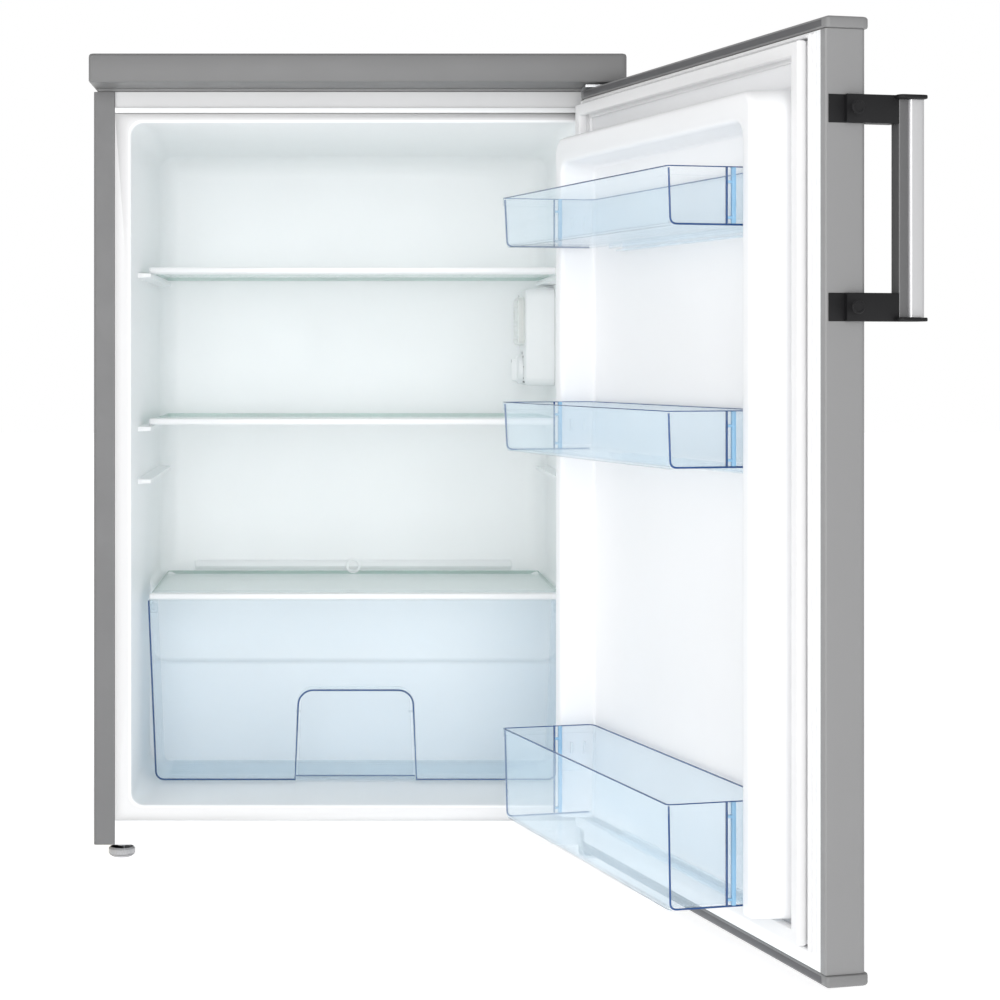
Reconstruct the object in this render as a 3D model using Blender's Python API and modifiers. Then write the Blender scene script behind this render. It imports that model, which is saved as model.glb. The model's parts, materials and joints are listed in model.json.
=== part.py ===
"""Under-counter mini fridge, its door standing open. Metres, +Z up, front towards -Y.

Everything is drawn in cabinet coordinates: X = 0 in the middle of the cabinet, Y = 0 on the face that
the door seals against, Z = 0 on the floor. The empty "fridge" carries them all, and stands so that the
origin is under the middle of the whole open fridge.
"""

import math

import bmesh
import bpy
from mathutils import Matrix

# Driving sizes
WIDTH = 0.555
HEIGHT = 0.845
DEPTH = 0.575
WORKTOP_THICKNESS = 0.030
WORKTOP_OVERHANG = 0.0557
REAR_SPACE = 0.051
CABINET_BOTTOM = 0.018
FRONT_RETURN = 0.022
CAVITY_SIDE_WALL = 0.0395
CAVITY_BACK_WALL = 0.038
CAVITY_FLOOR = 0.060
CAVITY_TOP_WALL = 0.066
CAVITY_RADIUS = 0.014
FLANGE_BOTTOM = 0.044
UPPER_TRIM_HEIGHT = 0.026
DOOR_THICKNESS = 0.037
DOOR_GAP = 0.015
DOOR_BOTTOM = 0.016
DOOR_SIDE_MARGIN = 0.0015
DOOR_TOP_CLEARANCE = 0.004
DOOR_OPEN_DEG = 105.0
HINGE_FROM_SIDE = 0.0225
HINGE_FROM_OUTER_FACE = 0.0205
SHELF_SETBACK = 0.128
SHELF_TRIM_HEIGHTS = {"top": 0.6250, "middle": 0.4572, "bottom": 0.2630}
BIN_RIMS = {"top": 0.692, "middle": 0.487, "bottom": 0.159}
BIN_HEIGHTS = {"top": 0.050, "middle": 0.049, "bottom": 0.090}
PLATE_LEFT = 0.019
PLATE_RIGHT = 0.016
PLATE_FRONT = 0.010
PLATE_BACK = 0.060
HANDLE_LENGTH = 0.186
HANDLE_TOP = 0.747

# Clearances and sheet thicknesses
GAP = 0.0003
SHEET = 0.0008
LINER = 0.002
TRIM_DEPTH = 0.006
HEM = 0.0055
REAR_RETURN = 0.012
SIDE_RADIUS = 0.003
PIN_RADIUS = 0.004
PIN_CLEARANCE = 0.0002

# Cabinet, worked out
HALF_WIDTH = WIDTH / 2
WORKTOP_UNDERSIDE = HEIGHT - WORKTOP_THICKNESS
CABINET_TOP = WORKTOP_UNDERSIDE - 0.0035
CABINET_DEPTH = DEPTH - WORKTOP_OVERHANG - REAR_SPACE
CAVITY_HALF = HALF_WIDTH - CAVITY_SIDE_WALL
CAVITY_TOP = HEIGHT - CAVITY_TOP_WALL
CAVITY_BACK = CABINET_DEPTH - CAVITY_BACK_WALL
TRIM_HALF = HALF_WIDTH - FRONT_RETURN - GAP
FLANGE_TOP = WORKTOP_UNDERSIDE - UPPER_TRIM_HEIGHT
HUMP_TOP = 0.258
HUMP_FRONT = CAVITY_BACK - 0.168
HUMP_STEP_TOP = 0.178
HUMP_STEP_FRONT = HUMP_FRONT - 0.012
HUMP_FOAM = 0.028
BAY_FRONT = HUMP_FRONT + LINER + HUMP_FOAM
BAY_TOP = HUMP_TOP - LINER - HUMP_FOAM
BASE_SHEET = 0.0012
BASE_BACK = CABINET_DEPTH + 0.030
BASE_LIP = 0.028
BASE_TOP = CABINET_BOTTOM + BASE_SHEET + GAP
SHELL_HALF = HALF_WIDTH - SHEET - GAP
SHELL_BACK = CABINET_DEPTH - SHEET - GAP
PAD_INSET = 0.003
PAD_EDGE = 0.003
PANEL_INSET = 0.002
EVAPORATOR_HALF = 0.190
EVAPORATOR_BOTTOM = 0.310
EVAPORATOR_TOP = 0.745
EVAPORATOR_THICKNESS = 0.0015

# Door, worked out. In door coordinates the hinge axis is x = 0, y = 0, the closed door reaches
# towards -x, and +y points into the cabinet.
HINGE_X = HALF_WIDTH - HINGE_FROM_SIDE
DOOR_OUTER = -HINGE_FROM_OUTER_FACE
DOOR_INNER = DOOR_OUTER + DOOR_THICKNESS
HINGE_Y = -DOOR_GAP - DOOR_INNER
DOOR_HINGE_SIDE = HALF_WIDTH - DOOR_SIDE_MARGIN - HINGE_X
DOOR_FREE_SIDE = -(HALF_WIDTH - DOOR_SIDE_MARGIN) - HINGE_X
DOOR_TOP = WORKTOP_UNDERSIDE - DOOR_TOP_CLEARANCE
CAP_HEIGHT = 0.010
CAP_LIP = 0.0025
SKIN_BOTTOM = DOOR_BOTTOM + CAP_HEIGHT + GAP
SKIN_TOP = DOOR_TOP - CAP_HEIGHT - GAP
DOOR_LINER = 0.0015
BULGE_INSET = 0.005
BULGE_HINGE_SIDE = CAVITY_HALF - BULGE_INSET - HINGE_X
BULGE_FREE_SIDE = -(CAVITY_HALF - BULGE_INSET) - HINGE_X
BULGE_BOTTOM = CAVITY_FLOOR + 0.0015
BULGE_TOP = CAVITY_TOP - 0.022
BULGE_FACE = 0.062
BULGE_RADIUS = 0.020
RIB_WIDTH = 0.022
RECESS_FLOOR = 0.026
RECESS_RADIUS = 0.012
RECESS_TOP_WALL = 0.030
BIN_BACK = RECESS_FLOOR + 0.0025
BIN_FRONT = 0.127
BIN_END_GAP = 0.003
BIN_WALL = 0.002
BIN_RADIUS = 0.008
SKIN_RADIUS = 0.005
SKIN_HEM = 0.009
CAP_RADIUS = 0.007
BUSH_RADIUS = 0.0068
GASKET_FOOT = 0.005

# Feet
FOOT_FROM_SIDE = 0.027
FOOT_SETBACK = 0.030
PAD_RADIUS = 0.014
PAD_HEIGHT = 0.0105
STEM_RADIUS = 0.004
STEM_TOP = 0.040
STEM_HOLE = STEM_RADIUS + 0.0008
SKID_FROM_SIDE = 0.040
SKID_HALF = 0.018
SKID_FRONT = CABINET_DEPTH - 0.045
SKID_BACK = CABINET_DEPTH - 0.010

# Shelves and crisper
SHELF_HALF = CAVITY_HALF - 0.009
SHELF_TRIM_HEIGHT = 0.0068
SHELF_TRIM_DEPTH = 0.014
SHELF_LIP = 0.003
RIB_FRONT = SHELF_SETBACK - 0.043
RIB_HEIGHT = 0.0065
RIB_CLEARANCE = 0.0005
RIB_UNDER_SHELF = 0.005
GLASS_THICKNESS = 0.004
SHELF_BACK = CAVITY_BACK - 0.008
DRAWER_TOP = SHELF_TRIM_HEIGHTS["bottom"] - 0.0013
DRAWER_BOTTOM = CAVITY_FLOOR + 0.002
DRAWER_FRONT = SHELF_SETBACK + 0.003
DRAWER_BACK = HUMP_STEP_FRONT - 0.004
DRAWER_WALL = 0.0025
DRAWER_HALF_TOP = SHELF_HALF + 0.002
DRAWER_HALF_BOTTOM = DRAWER_HALF_TOP - 0.008
DRAWER_RADIUS = 0.010
GRIP_HALF_BOTTOM = 0.0665
GRIP_HALF_TOP = 0.063
GRIP_TOP = DRAWER_BOTTOM + 0.099
GRIP_RADIUS = 0.0155
GRIP_DEPTH = 0.022

# Lamp and thermostat box on the right-hand wall
LAMP_BOTTOM = 0.498
LAMP_TOP = 0.614
LAMP_FRONT = CAVITY_BACK - 0.125
LAMP_BACK = CAVITY_BACK - 0.035
LAMP_FACE = CAVITY_HALF - 0.035
KNOB_HEIGHT = 0.517
KNOB_RADIUS = 0.0175
KNOB_DEPTH = 0.009
KNOB_BAR_HALF = 0.013
KNOB_BAR_HEIGHT = 0.004
LENS_DEPTH = 0.008
LENS_INSET = 0.012
LENS_WALL = 0.0015
LAMP_WELL_DEPTH = 0.016
LAMP_HALF = 0.018
LAMP_CLEARANCE = 0.004

# Compressor and condenser
COMPRESSOR_X = 0.105
COMPRESSOR_Y = CABINET_DEPTH - 0.068
COMPRESSOR_RADIUS = 0.062
COMPRESSOR_STRETCH = 1.25
COMPRESSOR_BOTTOM = 0.048
COMPRESSOR_TOP = 0.188
FOOT_PLATE_Z = 0.054
FOOT_PLATE_THICKNESS = 0.003
FOOT_PLATE_RIM = 0.013
GROMMET_RADIUS = 0.010
GROMMET_X = 0.082
GROMMET_Y = 0.036
SEAM = 0.002
START_BOX_DEPTH = 0.034
START_BOX_HALF = 0.030
START_BOX_BOTTOM = 0.085
START_BOX_TOP = 0.145
PAN_HALF_LENGTH = 0.080
PAN_HALF_WIDTH = 0.050
PAN_HEIGHT = 0.024
PAN_WALL = 0.0018
PAN_RADIUS = 0.012
SPOUT_BORE = 0.0035
SPOUT_RADIUS = 0.0055
SPOUT_FLANGE = 0.012
CONDENSER_HALF = 0.205
CONDENSER_TUBE = 0.0024
CONDENSER_Y = CABINET_DEPTH + 0.027
CONDENSER_BOTTOM = 0.330
CONDENSER_PITCH = 0.060
CONDENSER_RUNS = 8
RAIL_X = 0.130
RAIL_HALF = 0.008
RISER_OFFSET = 0.020
DISCHARGE_HEIGHT = 0.120
DRIER_END = RAIL_X - 0.025
DRIER_HALF = 0.050
DRIER_RADIUS = 0.009
DRIER_NECK = 0.003
SUCTION_RADIUS = 0.003
INLET_X = -0.150
INLET_Z = CABINET_BOTTOM + 0.016
INLET_HOLE = 0.0068
INLET_LIP = 0.0085
INLET_BORE = 0.0038
INLET_DEPTH = 0.010

# Handle, in door coordinates
BRACKET_HEIGHT = 0.0234
BRACKET_FRONT = DOOR_FREE_SIDE - 0.015
BRACKET_STEP = DOOR_FREE_SIDE - 0.010
BRACKET_INNER = DOOR_INNER - 0.0025
BRACKET_STEP_END = BRACKET_INNER - 0.014
BRACKET_OUTER = DOOR_OUTER - 0.0395
BAR_INNER = DOOR_OUTER - 0.0262
BAR_OUTER = DOOR_OUTER - 0.0495
BAR_FRONT = DOOR_FREE_SIDE - 0.009
BAR_DEPTH = 0.018
BAR_CAP = 0.0032
SCREW_CAP_RADIUS = 0.0058
SCREW_CAP_DEPTH = 0.0018

# The open door and the worktop bound the fridge; the origin goes under the middle of that box.
OPEN = math.radians(DOOR_OPEN_DEG)
OPEN_RIGHT = HINGE_X + math.cos(OPEN) * BAR_FRONT - math.sin(OPEN) * BAR_OUTER
OPEN_FRONT = HINGE_Y + math.sin(OPEN) * (BRACKET_FRONT - SCREW_CAP_DEPTH)
ORIGIN_X = (OPEN_RIGHT - HALF_WIDTH) / 2
ORIGIN_Y = (OPEN_FRONT + DEPTH - WORKTOP_OVERHANG) / 2

LOOKS = {
    "grey_steel": ((0.27, 0.27, 0.28), 0.42, 0.35),
    "worktop_grey": ((0.26, 0.26, 0.265), 0.5, 0.0),
    "cap_grey": ((0.27, 0.27, 0.275), 0.45, 0.0),
    "trim_grey": ((0.64, 0.64, 0.65), 0.5, 0.0),
    "white_plastic": ((0.86, 0.87, 0.87), 0.4, 0.0),
    "foam": ((0.72, 0.66, 0.42), 0.9, 0.0),
    "zinc": ((0.55, 0.56, 0.57), 0.35, 0.9),
    "aluminium": ((0.75, 0.76, 0.77), 0.32, 0.95),
    "black_paint": ((0.02, 0.02, 0.022), 0.45, 0.2),
    "black_plastic": ((0.015, 0.015, 0.017), 0.4, 0.0),
    "rubber": ((0.03, 0.03, 0.03), 0.8, 0.0),
    "copper": ((0.72, 0.36, 0.22), 0.3, 0.95),
    "gasket_grey": ((0.78, 0.78, 0.79), 0.7, 0.0),
    "foot_grey": ((0.45, 0.45, 0.46), 0.55, 0.0),
    "glass": ((0.80, 0.93, 0.90), 0.05, 0.0),
    "clear_blue": ((0.62, 0.80, 0.92), 0.08, 0.0),
    "lamp_white": ((0.95, 0.94, 0.90), 0.2, 0.0),
}


# Tools

def clear_scene():
    for obj in list(bpy.data.objects):
        bpy.data.objects.remove(obj, do_unlink=True)


def new_collection(name):
    made = bpy.data.collections.new(name)
    bpy.context.scene.collection.children.link(made)
    return made


def empty(name, location, parent=None, turn=0.0):
    made = bpy.data.objects.new(name, None)
    bpy.data.collections["mini_fridge"].objects.link(made)
    made.location = location
    made.rotation_euler = (0.0, 0.0, turn)
    made.parent = parent
    return made


def material(look, name):
    colour, roughness, metallic = LOOKS[look]
    made = bpy.data.materials.new(name)
    made.use_nodes = True
    shader = made.node_tree.nodes["Principled BSDF"]
    shader.inputs["Base Color"].default_value = (*colour, 1.0)
    shader.inputs["Roughness"].default_value = roughness
    shader.inputs["Metallic"].default_value = metallic
    if look in ("glass", "clear_blue"):
        shader.inputs["Transmission Weight"].default_value = 0.9
    return made


def add(name, mesh, look, parent, location=(0.0, 0.0, 0.0)):
    """An object of this mesh: a node if it has a look, and a hidden cutter if it has none."""
    made = bpy.data.objects.new(name, mesh)
    made.location = location
    made.parent = parent
    if look:
        bpy.data.collections["mini_fridge"].objects.link(made)
        made.data.materials.append(material(look, name))
        return made
    bpy.data.collections["cutters"].objects.link(made)
    made.hide_render = True
    made.display_type = "WIRE"
    return made


def round_edges(obj, width, segments=2):
    bevel = obj.modifiers.new("rounded", "BEVEL")
    bevel.width = width
    bevel.segments = segments
    bevel.limit_method = "ANGLE"
    bevel.angle_limit = math.radians(40)
    return obj


def box(name, low, high, look, parent, radius=0.0, segments=2):
    """A box between two corners, with its origin in the middle."""
    shape = bmesh.new()
    bmesh.ops.create_cube(shape, size=1.0)
    sides = [b - a for a, b in zip(low, high)]
    bmesh.ops.scale(shape, vec=sides, verts=shape.verts)
    mesh = bpy.data.meshes.new(name)
    shape.to_mesh(mesh)
    shape.free()
    middle = [(a + b) / 2 for a, b in zip(low, high)]
    made = add(name, mesh, look, parent, middle)
    return round_edges(made, radius, segments) if radius else made


# Which way an outline's two axes and its extrusion point.
PLANES = {
    "XY": Matrix.Identity(4),
    "XZ": Matrix(((1, 0, 0, 0), (0, 0, -1, 0), (0, 1, 0, 0), (0, 0, 0, 1))),
    "YZ": Matrix(((0, 0, 1, 0), (1, 0, 0, 0), (0, 1, 0, 0), (0, 0, 0, 1))),
}
ALONG = {"XY": 2, "XZ": 1, "YZ": 0}


def prism(name, outlines, start, end, look, parent, plane="XY"):
    """The outlines, drawn in a plane, extruded from start to end. A second outline is a hole."""
    curve = bpy.data.curves.new(name, "CURVE")
    curve.dimensions = "2D"
    curve.fill_mode = "BOTH"
    curve.extrude = (end - start) / 2
    for outline in outlines:
        spline = curve.splines.new("POLY")
        spline.points.add(len(outline) - 1)
        for point, (a, b) in zip(spline.points, outline):
            point.co = (a, b, 0.0, 1.0)
        spline.use_cyclic_u = True
    drawn = bpy.data.objects.new(name, curve)
    mesh = bpy.data.meshes.new_from_object(drawn)
    bpy.data.objects.remove(drawn)
    shape = bmesh.new()
    shape.from_mesh(mesh)
    bmesh.ops.remove_doubles(shape, verts=shape.verts, dist=1e-6)
    shape.transform(PLANES[plane])
    shift = [0.0, 0.0, 0.0]
    shift[ALONG[plane]] = (start + end) / 2
    bmesh.ops.translate(shape, vec=shift, verts=shape.verts)
    bmesh.ops.recalc_face_normals(shape, faces=shape.faces)
    shape.to_mesh(mesh)
    shape.free()
    mesh.name = name
    return add(name, mesh, look, parent)


def turned(name, profile, look, parent, location, turn=(0.0, 0.0, 0.0), steps=24):
    """A profile of (radius, height) points, from the top down its outer side, turned about the origin."""
    mesh = bpy.data.meshes.new(name)
    points = [(radius, 0.0, height) for radius, height in profile]
    edges = [(i, i + 1) for i in range(len(points) - 1)]
    if profile[0][0] > 0:
        edges.append((len(points) - 1, 0))
    mesh.from_pydata(points, edges, [])
    made = add(name, mesh, look, parent, location)
    made.rotation_euler = turn
    screw = made.modifiers.new("turned", "SCREW")
    screw.steps = steps
    screw.render_steps = steps
    screw.use_merge_vertices = True
    screw.merge_threshold = 0.00001
    screw.use_smooth_shade = True
    return made


def disc(name, radius, bottom, top, look, parent, at, steps=24):
    """An upright cylinder, or a cutter if it has no look."""
    profile = [(0.0, top), (radius, top), (radius, bottom), (0.0, bottom)]
    return turned(name, profile, look, parent, (at[0], at[1], 0.0), steps=steps)


def tube(name, points, radius, look, parent):
    """A round tube along the points, with closed ends."""
    curve = bpy.data.curves.new(name, "CURVE")
    curve.dimensions = "3D"
    curve.bevel_depth = radius
    curve.bevel_resolution = 1
    curve.use_fill_caps = True
    spline = curve.splines.new("POLY")
    spline.points.add(len(points) - 1)
    for point, place in zip(spline.points, points):
        point.co = (*place, 1.0)
    drawn = bpy.data.objects.new(name, curve)
    mesh = bpy.data.meshes.new_from_object(drawn)
    bpy.data.objects.remove(drawn)
    shape = bmesh.new()
    shape.from_mesh(mesh)
    bmesh.ops.remove_doubles(shape, verts=shape.verts, dist=1e-6)
    bmesh.ops.recalc_face_normals(shape, faces=shape.faces)
    shape.to_mesh(mesh)
    shape.free()
    mesh.name = name
    for face in mesh.polygons:
        face.use_smooth = len(face.vertices) == 4
    return add(name, mesh, look, parent)


def combine(obj, other, operation):
    boolean = obj.modifiers.new(other.name, "BOOLEAN")
    boolean.operation = operation
    boolean.solver = "EXACT"
    boolean.object = other
    return obj


def cut(obj, *cutters):
    for cutter in cutters:
        combine(obj, cutter, "DIFFERENCE")
    return obj


def fuse(obj, *others):
    for other in others:
        combine(obj, other, "UNION")
    return obj


def arc(centre, radius, start_deg, end_deg, steps=4):
    turns = [math.radians(start_deg + (end_deg - start_deg) * i / steps) for i in range(steps + 1)]
    return [(centre[0] + radius * math.cos(t), centre[1] + radius * math.sin(t)) for t in turns]


def rounded_rectangle(low, high, radius, steps=4):
    (x0, y0), (x1, y1) = low, high
    corners = ((x1, y1, -1, -1, 0), (x0, y1, 1, -1, 90), (x0, y0, 1, 1, 180), (x1, y0, -1, 1, 270))
    outline = []
    for x, y, side_x, side_y, start in corners:
        centre = (x + side_x * radius, y + side_y * radius)
        outline += arc(centre, radius, start, start + 90, steps)
    return outline


def rectangle(low, high):
    return [(low[0], low[1]), (high[0], low[1]), (high[0], high[1]), (low[0], high[1])]


def sheet_outline(path, thickness):
    """The outline of a bent sheet: its outer line is the path, and the sheet lies on the path's left."""
    offset = []
    for i, (x, y) in enumerate(path):
        normals = []
        for a, b in ((i - 1, i), (i, i + 1)):
            if a < 0 or b >= len(path):
                continue
            along = (path[b][0] - path[a][0], path[b][1] - path[a][1])
            length = math.hypot(*along)
            normals.append((-along[1] / length, along[0] / length))
        mean = [sum(n[k] for n in normals) / len(normals) for k in (0, 1)]
        scale = thickness / (mean[0] ** 2 + mean[1] ** 2)
        offset.append((x + mean[0] * scale, y + mean[1] * scale))
    return path + offset[::-1]


def mirrored(outline):
    return [(-x, y) for x, y in outline][::-1]


# Cabinet shell

def side_panels(fridge):
    """Each side is one bent sheet: rear return, side, rounded front edge, front return and its hem."""
    back, front_return = CABINET_DEPTH, -HALF_WIDTH + FRONT_RETURN
    path = [(-HALF_WIDTH + REAR_RETURN, back), (-HALF_WIDTH, back)]
    path += arc((-HALF_WIDTH + SIDE_RADIUS, SIDE_RADIUS), SIDE_RADIUS, 180, 270, 3)
    path += [(front_return, 0.0), (front_return, HEM)]
    left = sheet_outline(path, SHEET)
    for name, outline in (("side_panel_left", left), ("side_panel_right", mirrored(left))):
        prism(name, [outline], CABINET_BOTTOM, CABINET_TOP, "grey_steel", fridge)


def worktop(fridge):
    """A board that overhangs the closed door, with a raised pad under it that rests on the cabinet."""
    front, back = -WORKTOP_OVERHANG, DEPTH - WORKTOP_OVERHANG
    low = (-HALF_WIDTH, front, WORKTOP_UNDERSIDE)
    board = box("worktop", low, (HALF_WIDTH, back, HEIGHT), "worktop_grey", fridge, 0.003)
    pad_low = (-HALF_WIDTH + PAD_INSET, PAD_EDGE, CABINET_TOP + GAP)
    pad_high = (HALF_WIDTH - PAD_INSET, CABINET_DEPTH - PAD_EDGE, WORKTOP_UNDERSIDE + 0.002)
    pad = box("worktop_pad", pad_low, pad_high, None, fridge)
    pocket_low = (HINGE_X - PLATE_LEFT - 0.003, -0.01, CABINET_TOP - 0.01)
    pocket_high = (HALF_WIDTH, PLATE_BACK + 0.008, WORKTOP_UNDERSIDE - GAP)
    pocket = box("hinge_pocket", pocket_low, pocket_high, None, fridge)
    cut(pad, pocket)
    fuse(board, pad)


def trims(fridge):
    """Plastic rails across the cabinet's front, above and below the liner's flange."""
    step, setback = FLANGE_TOP + 0.006, 0.002
    upper = [(0.0, FLANGE_TOP), (TRIM_DEPTH, FLANGE_TOP), (TRIM_DEPTH, CABINET_TOP)]
    upper += [(setback, CABINET_TOP), (setback, step), (0.0, step)]
    prism("upper_trim", [upper], -TRIM_HALF, TRIM_HALF, "trim_grey", fridge, "YZ")
    low = (-TRIM_HALF, 0.0, CABINET_BOTTOM + GAP)
    high = (TRIM_HALF, TRIM_DEPTH, FLANGE_BOTTOM - GAP)
    box("lower_trim", low, high, "white_plastic", fridge)


def cavity_shape(name, grow, fridge):
    """The food space as a solid, or larger all round by grow, with the compressor step taken out."""
    low = (-CAVITY_HALF - grow, -0.05, CAVITY_FLOOR - grow)
    high = (CAVITY_HALF + grow, CAVITY_BACK + grow, CAVITY_TOP + grow)
    space = box(name, low, high, None, fridge, CAVITY_RADIUS + grow, 3)
    front, step_front = HUMP_FRONT + grow, HUMP_STEP_FRONT + grow
    top, step_top = HUMP_TOP - grow, HUMP_STEP_TOP - grow
    behind, under = CAVITY_BACK + 0.05, CAVITY_FLOOR - 0.05
    outline = [(step_front, under), (behind, under), (behind, top), (front, top)]
    outline += [(front, step_top), (step_front, step_top)]
    hump = prism(name + "_hump", [outline], -HALF_WIDTH, HALF_WIDTH, None, fridge, "YZ")
    return cut(space, hump)


def shelf_ribs(fridge):
    """Ledges on both side walls, one under each end of every shelf."""
    ribs = []
    for name, bottom in SHELF_TRIM_HEIGHTS.items():
        front, back = HUMP_FRONT if name == "bottom" else RIB_FRONT, CAVITY_BACK - CAVITY_RADIUS
        top = bottom - RIB_CLEARANCE
        for side_name, side in (("left", -1), ("right", 1)):
            inner, outer = sorted((side * (SHELF_HALF - RIB_UNDER_SHELF), side * (CAVITY_HALF + LINER / 2)))
            low, high = (inner, front, top - RIB_HEIGHT), (outer, back, top)
            ribs.append(box(f"{name}_ledge_{side_name}", low, high, None, fridge))
    return ribs


def inner_liner(fridge):
    """One vacuum-formed tub with a front flange, shelf ledges and the step over the compressor."""
    low = (-CAVITY_HALF - LINER, -0.05, CAVITY_FLOOR - LINER)
    high = (CAVITY_HALF + LINER, CAVITY_BACK + LINER, CAVITY_TOP + LINER)
    liner = box("inner_liner", low, high, "white_plastic", fridge, CAVITY_RADIUS + LINER, 3)
    flange_low = (-TRIM_HALF, 0.0, FLANGE_BOTTOM)
    flange = box("liner_flange", flange_low, (TRIM_HALF, LINER, FLANGE_TOP - GAP), None, fridge)
    under = prism(
        "under_hump",
        [[
            (HUMP_STEP_FRONT + LINER, 0.0),
            (CABINET_DEPTH, 0.0),
            (CABINET_DEPTH, HUMP_TOP - LINER),
            (HUMP_FRONT + LINER, HUMP_TOP - LINER),
            (HUMP_FRONT + LINER, HUMP_STEP_TOP - LINER),
            (HUMP_STEP_FRONT + LINER, HUMP_STEP_TOP - LINER),
        ]],
        -HALF_WIDTH, HALF_WIDTH, None, fridge, "YZ",
    )
    before = box("before_front", (-1.0, -0.2, -0.1), (1.0, 0.0, 1.0), None, fridge)
    cut(liner, under)
    fuse(liner, flange)
    cut(liner, cavity_shape("cavity", 0.0, fridge), before)
    fuse(liner, *shelf_ribs(fridge))


def insulation(fridge):
    """Foam between the outer sheets and the liner, with the compressor's bay left free behind it."""
    low = (-SHELL_HALF, TRIM_DEPTH + GAP, BASE_TOP)
    foam = box("insulation", low, (SHELL_HALF, SHELL_BACK, CABINET_TOP), "foam", fridge)
    bay = box("compressor_bay", (-WIDTH, BAY_FRONT, -0.1), (WIDTH, 1.0, BAY_TOP), None, fridge)
    plate_low, plate_high = evaporator_corners(GAP)
    plate_low[1] = CAVITY_BACK
    pocket = box("evaporator_pocket", plate_low, plate_high, None, fridge)
    cut(foam, cavity_shape("liner_space", LINER + GAP, fridge), bay, pocket)
    for side, x in foot_places():
        hole_top = STEM_TOP + 0.004
        cut(foam, disc(f"foam_hole_{side}", STEM_HOLE, 0.0, hole_top, None, fridge, (x, FOOT_SETBACK), 12))


def evaporator_corners(grow):
    front = CAVITY_BACK + LINER + GAP
    low = [-EVAPORATOR_HALF - grow, front - grow, EVAPORATOR_BOTTOM - grow]
    high = [EVAPORATOR_HALF + grow, front + EVAPORATOR_THICKNESS + grow, EVAPORATOR_TOP + grow]
    return low, high


def cabinet_sheets(fridge):
    """The evaporator plate, the back panel, the compressor bay's lining, and the base plate."""
    low, high = evaporator_corners(0.0)
    box("evaporator_plate", low, high, "aluminium", fridge)
    panel_low = (-HALF_WIDTH + PANEL_INSET, CABINET_DEPTH + GAP, BAY_TOP)
    panel_high = (HALF_WIDTH - PANEL_INSET, CABINET_DEPTH + GAP + SHEET, CABINET_TOP)
    box("back_panel", panel_low, panel_high, "zinc", fridge)
    bay_front, bay_top = BAY_FRONT + GAP, BAY_TOP - GAP
    lining = sheet_outline([(SHELL_BACK, bay_top), (bay_front, bay_top), (bay_front, BASE_TOP)], SHEET)
    prism("bay_sheet", [lining], -SHELL_HALF, SHELL_HALF, "zinc", fridge, "YZ")
    path = [(TRIM_DEPTH + GAP, CABINET_BOTTOM), (BASE_BACK, CABINET_BOTTOM)]
    path.append((BASE_BACK, CABINET_BOTTOM + BASE_LIP))
    half = HALF_WIDTH - REAR_RETURN - GAP
    base = prism("base_plate", [sheet_outline(path, BASE_SHEET)], -half, half, "zinc", fridge, "YZ")
    for side, x in foot_places():
        cut(base, disc(f"base_hole_{side}", STEM_HOLE, 0.0, STEM_TOP, None, fridge, (x, FOOT_SETBACK), 12))
    profile = [(0.0, 0.02), (INLET_HOLE, 0.02), (INLET_HOLE, -0.02), (0.0, -0.02)]
    at = (INLET_X, BASE_BACK, INLET_Z)
    cut(base, turned("inlet_hole", profile, None, fridge, at, (math.pi / 2, 0.0, 0.0), 16))


def cable_inlet(fridge):
    """The ring that the mains cord passes through, held in the base plate's rear lip."""
    body, proud = INLET_HOLE - GAP, 0.004
    profile = [(INLET_BORE, proud), (INLET_LIP, proud), (INLET_LIP, GAP), (body, GAP)]
    profile += [(body, -INLET_DEPTH), (INLET_BORE, -INLET_DEPTH)]
    at = (INLET_X, BASE_BACK, INLET_Z)
    turned("cable_inlet", profile, "black_plastic", fridge, at, (-math.pi / 2, 0.0, 0.0), 16)


def foot_places():
    x = HALF_WIDTH - FOOT_FROM_SIDE
    return (("left", -x), ("right", x))


def feet(fridge):
    """Levelling feet at the front, each a threaded stem in a ribbed pad, and plain skids at the back."""
    for side, x in foot_places():
        at = (x, FOOT_SETBACK)
        disc(f"foot_stem_{side}", STEM_RADIUS, PAD_HEIGHT + GAP, STEM_TOP, "zinc", fridge, at, 12)
        top, edge = PAD_HEIGHT, PAD_RADIUS
        profile = [(0.0, top), (edge, top), (edge, 0.003), (edge - 0.0025, 0.0006)]
        profile += [(edge - 0.005, 0.0), (0.0, 0.0)]
        turned(f"foot_pad_{side}", profile, "foot_grey", fridge, (x, FOOT_SETBACK, 0.0), steps=16)
        skid_x = math.copysign(HALF_WIDTH - SKID_FROM_SIDE, x)
        low = (skid_x - SKID_HALF, SKID_FRONT, 0.0)
        high = (skid_x + SKID_HALF, SKID_BACK, CABINET_BOTTOM - GAP)
        box(f"rear_skid_{side}", low, high, "foot_grey", fridge, 0.003, 1)


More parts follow.
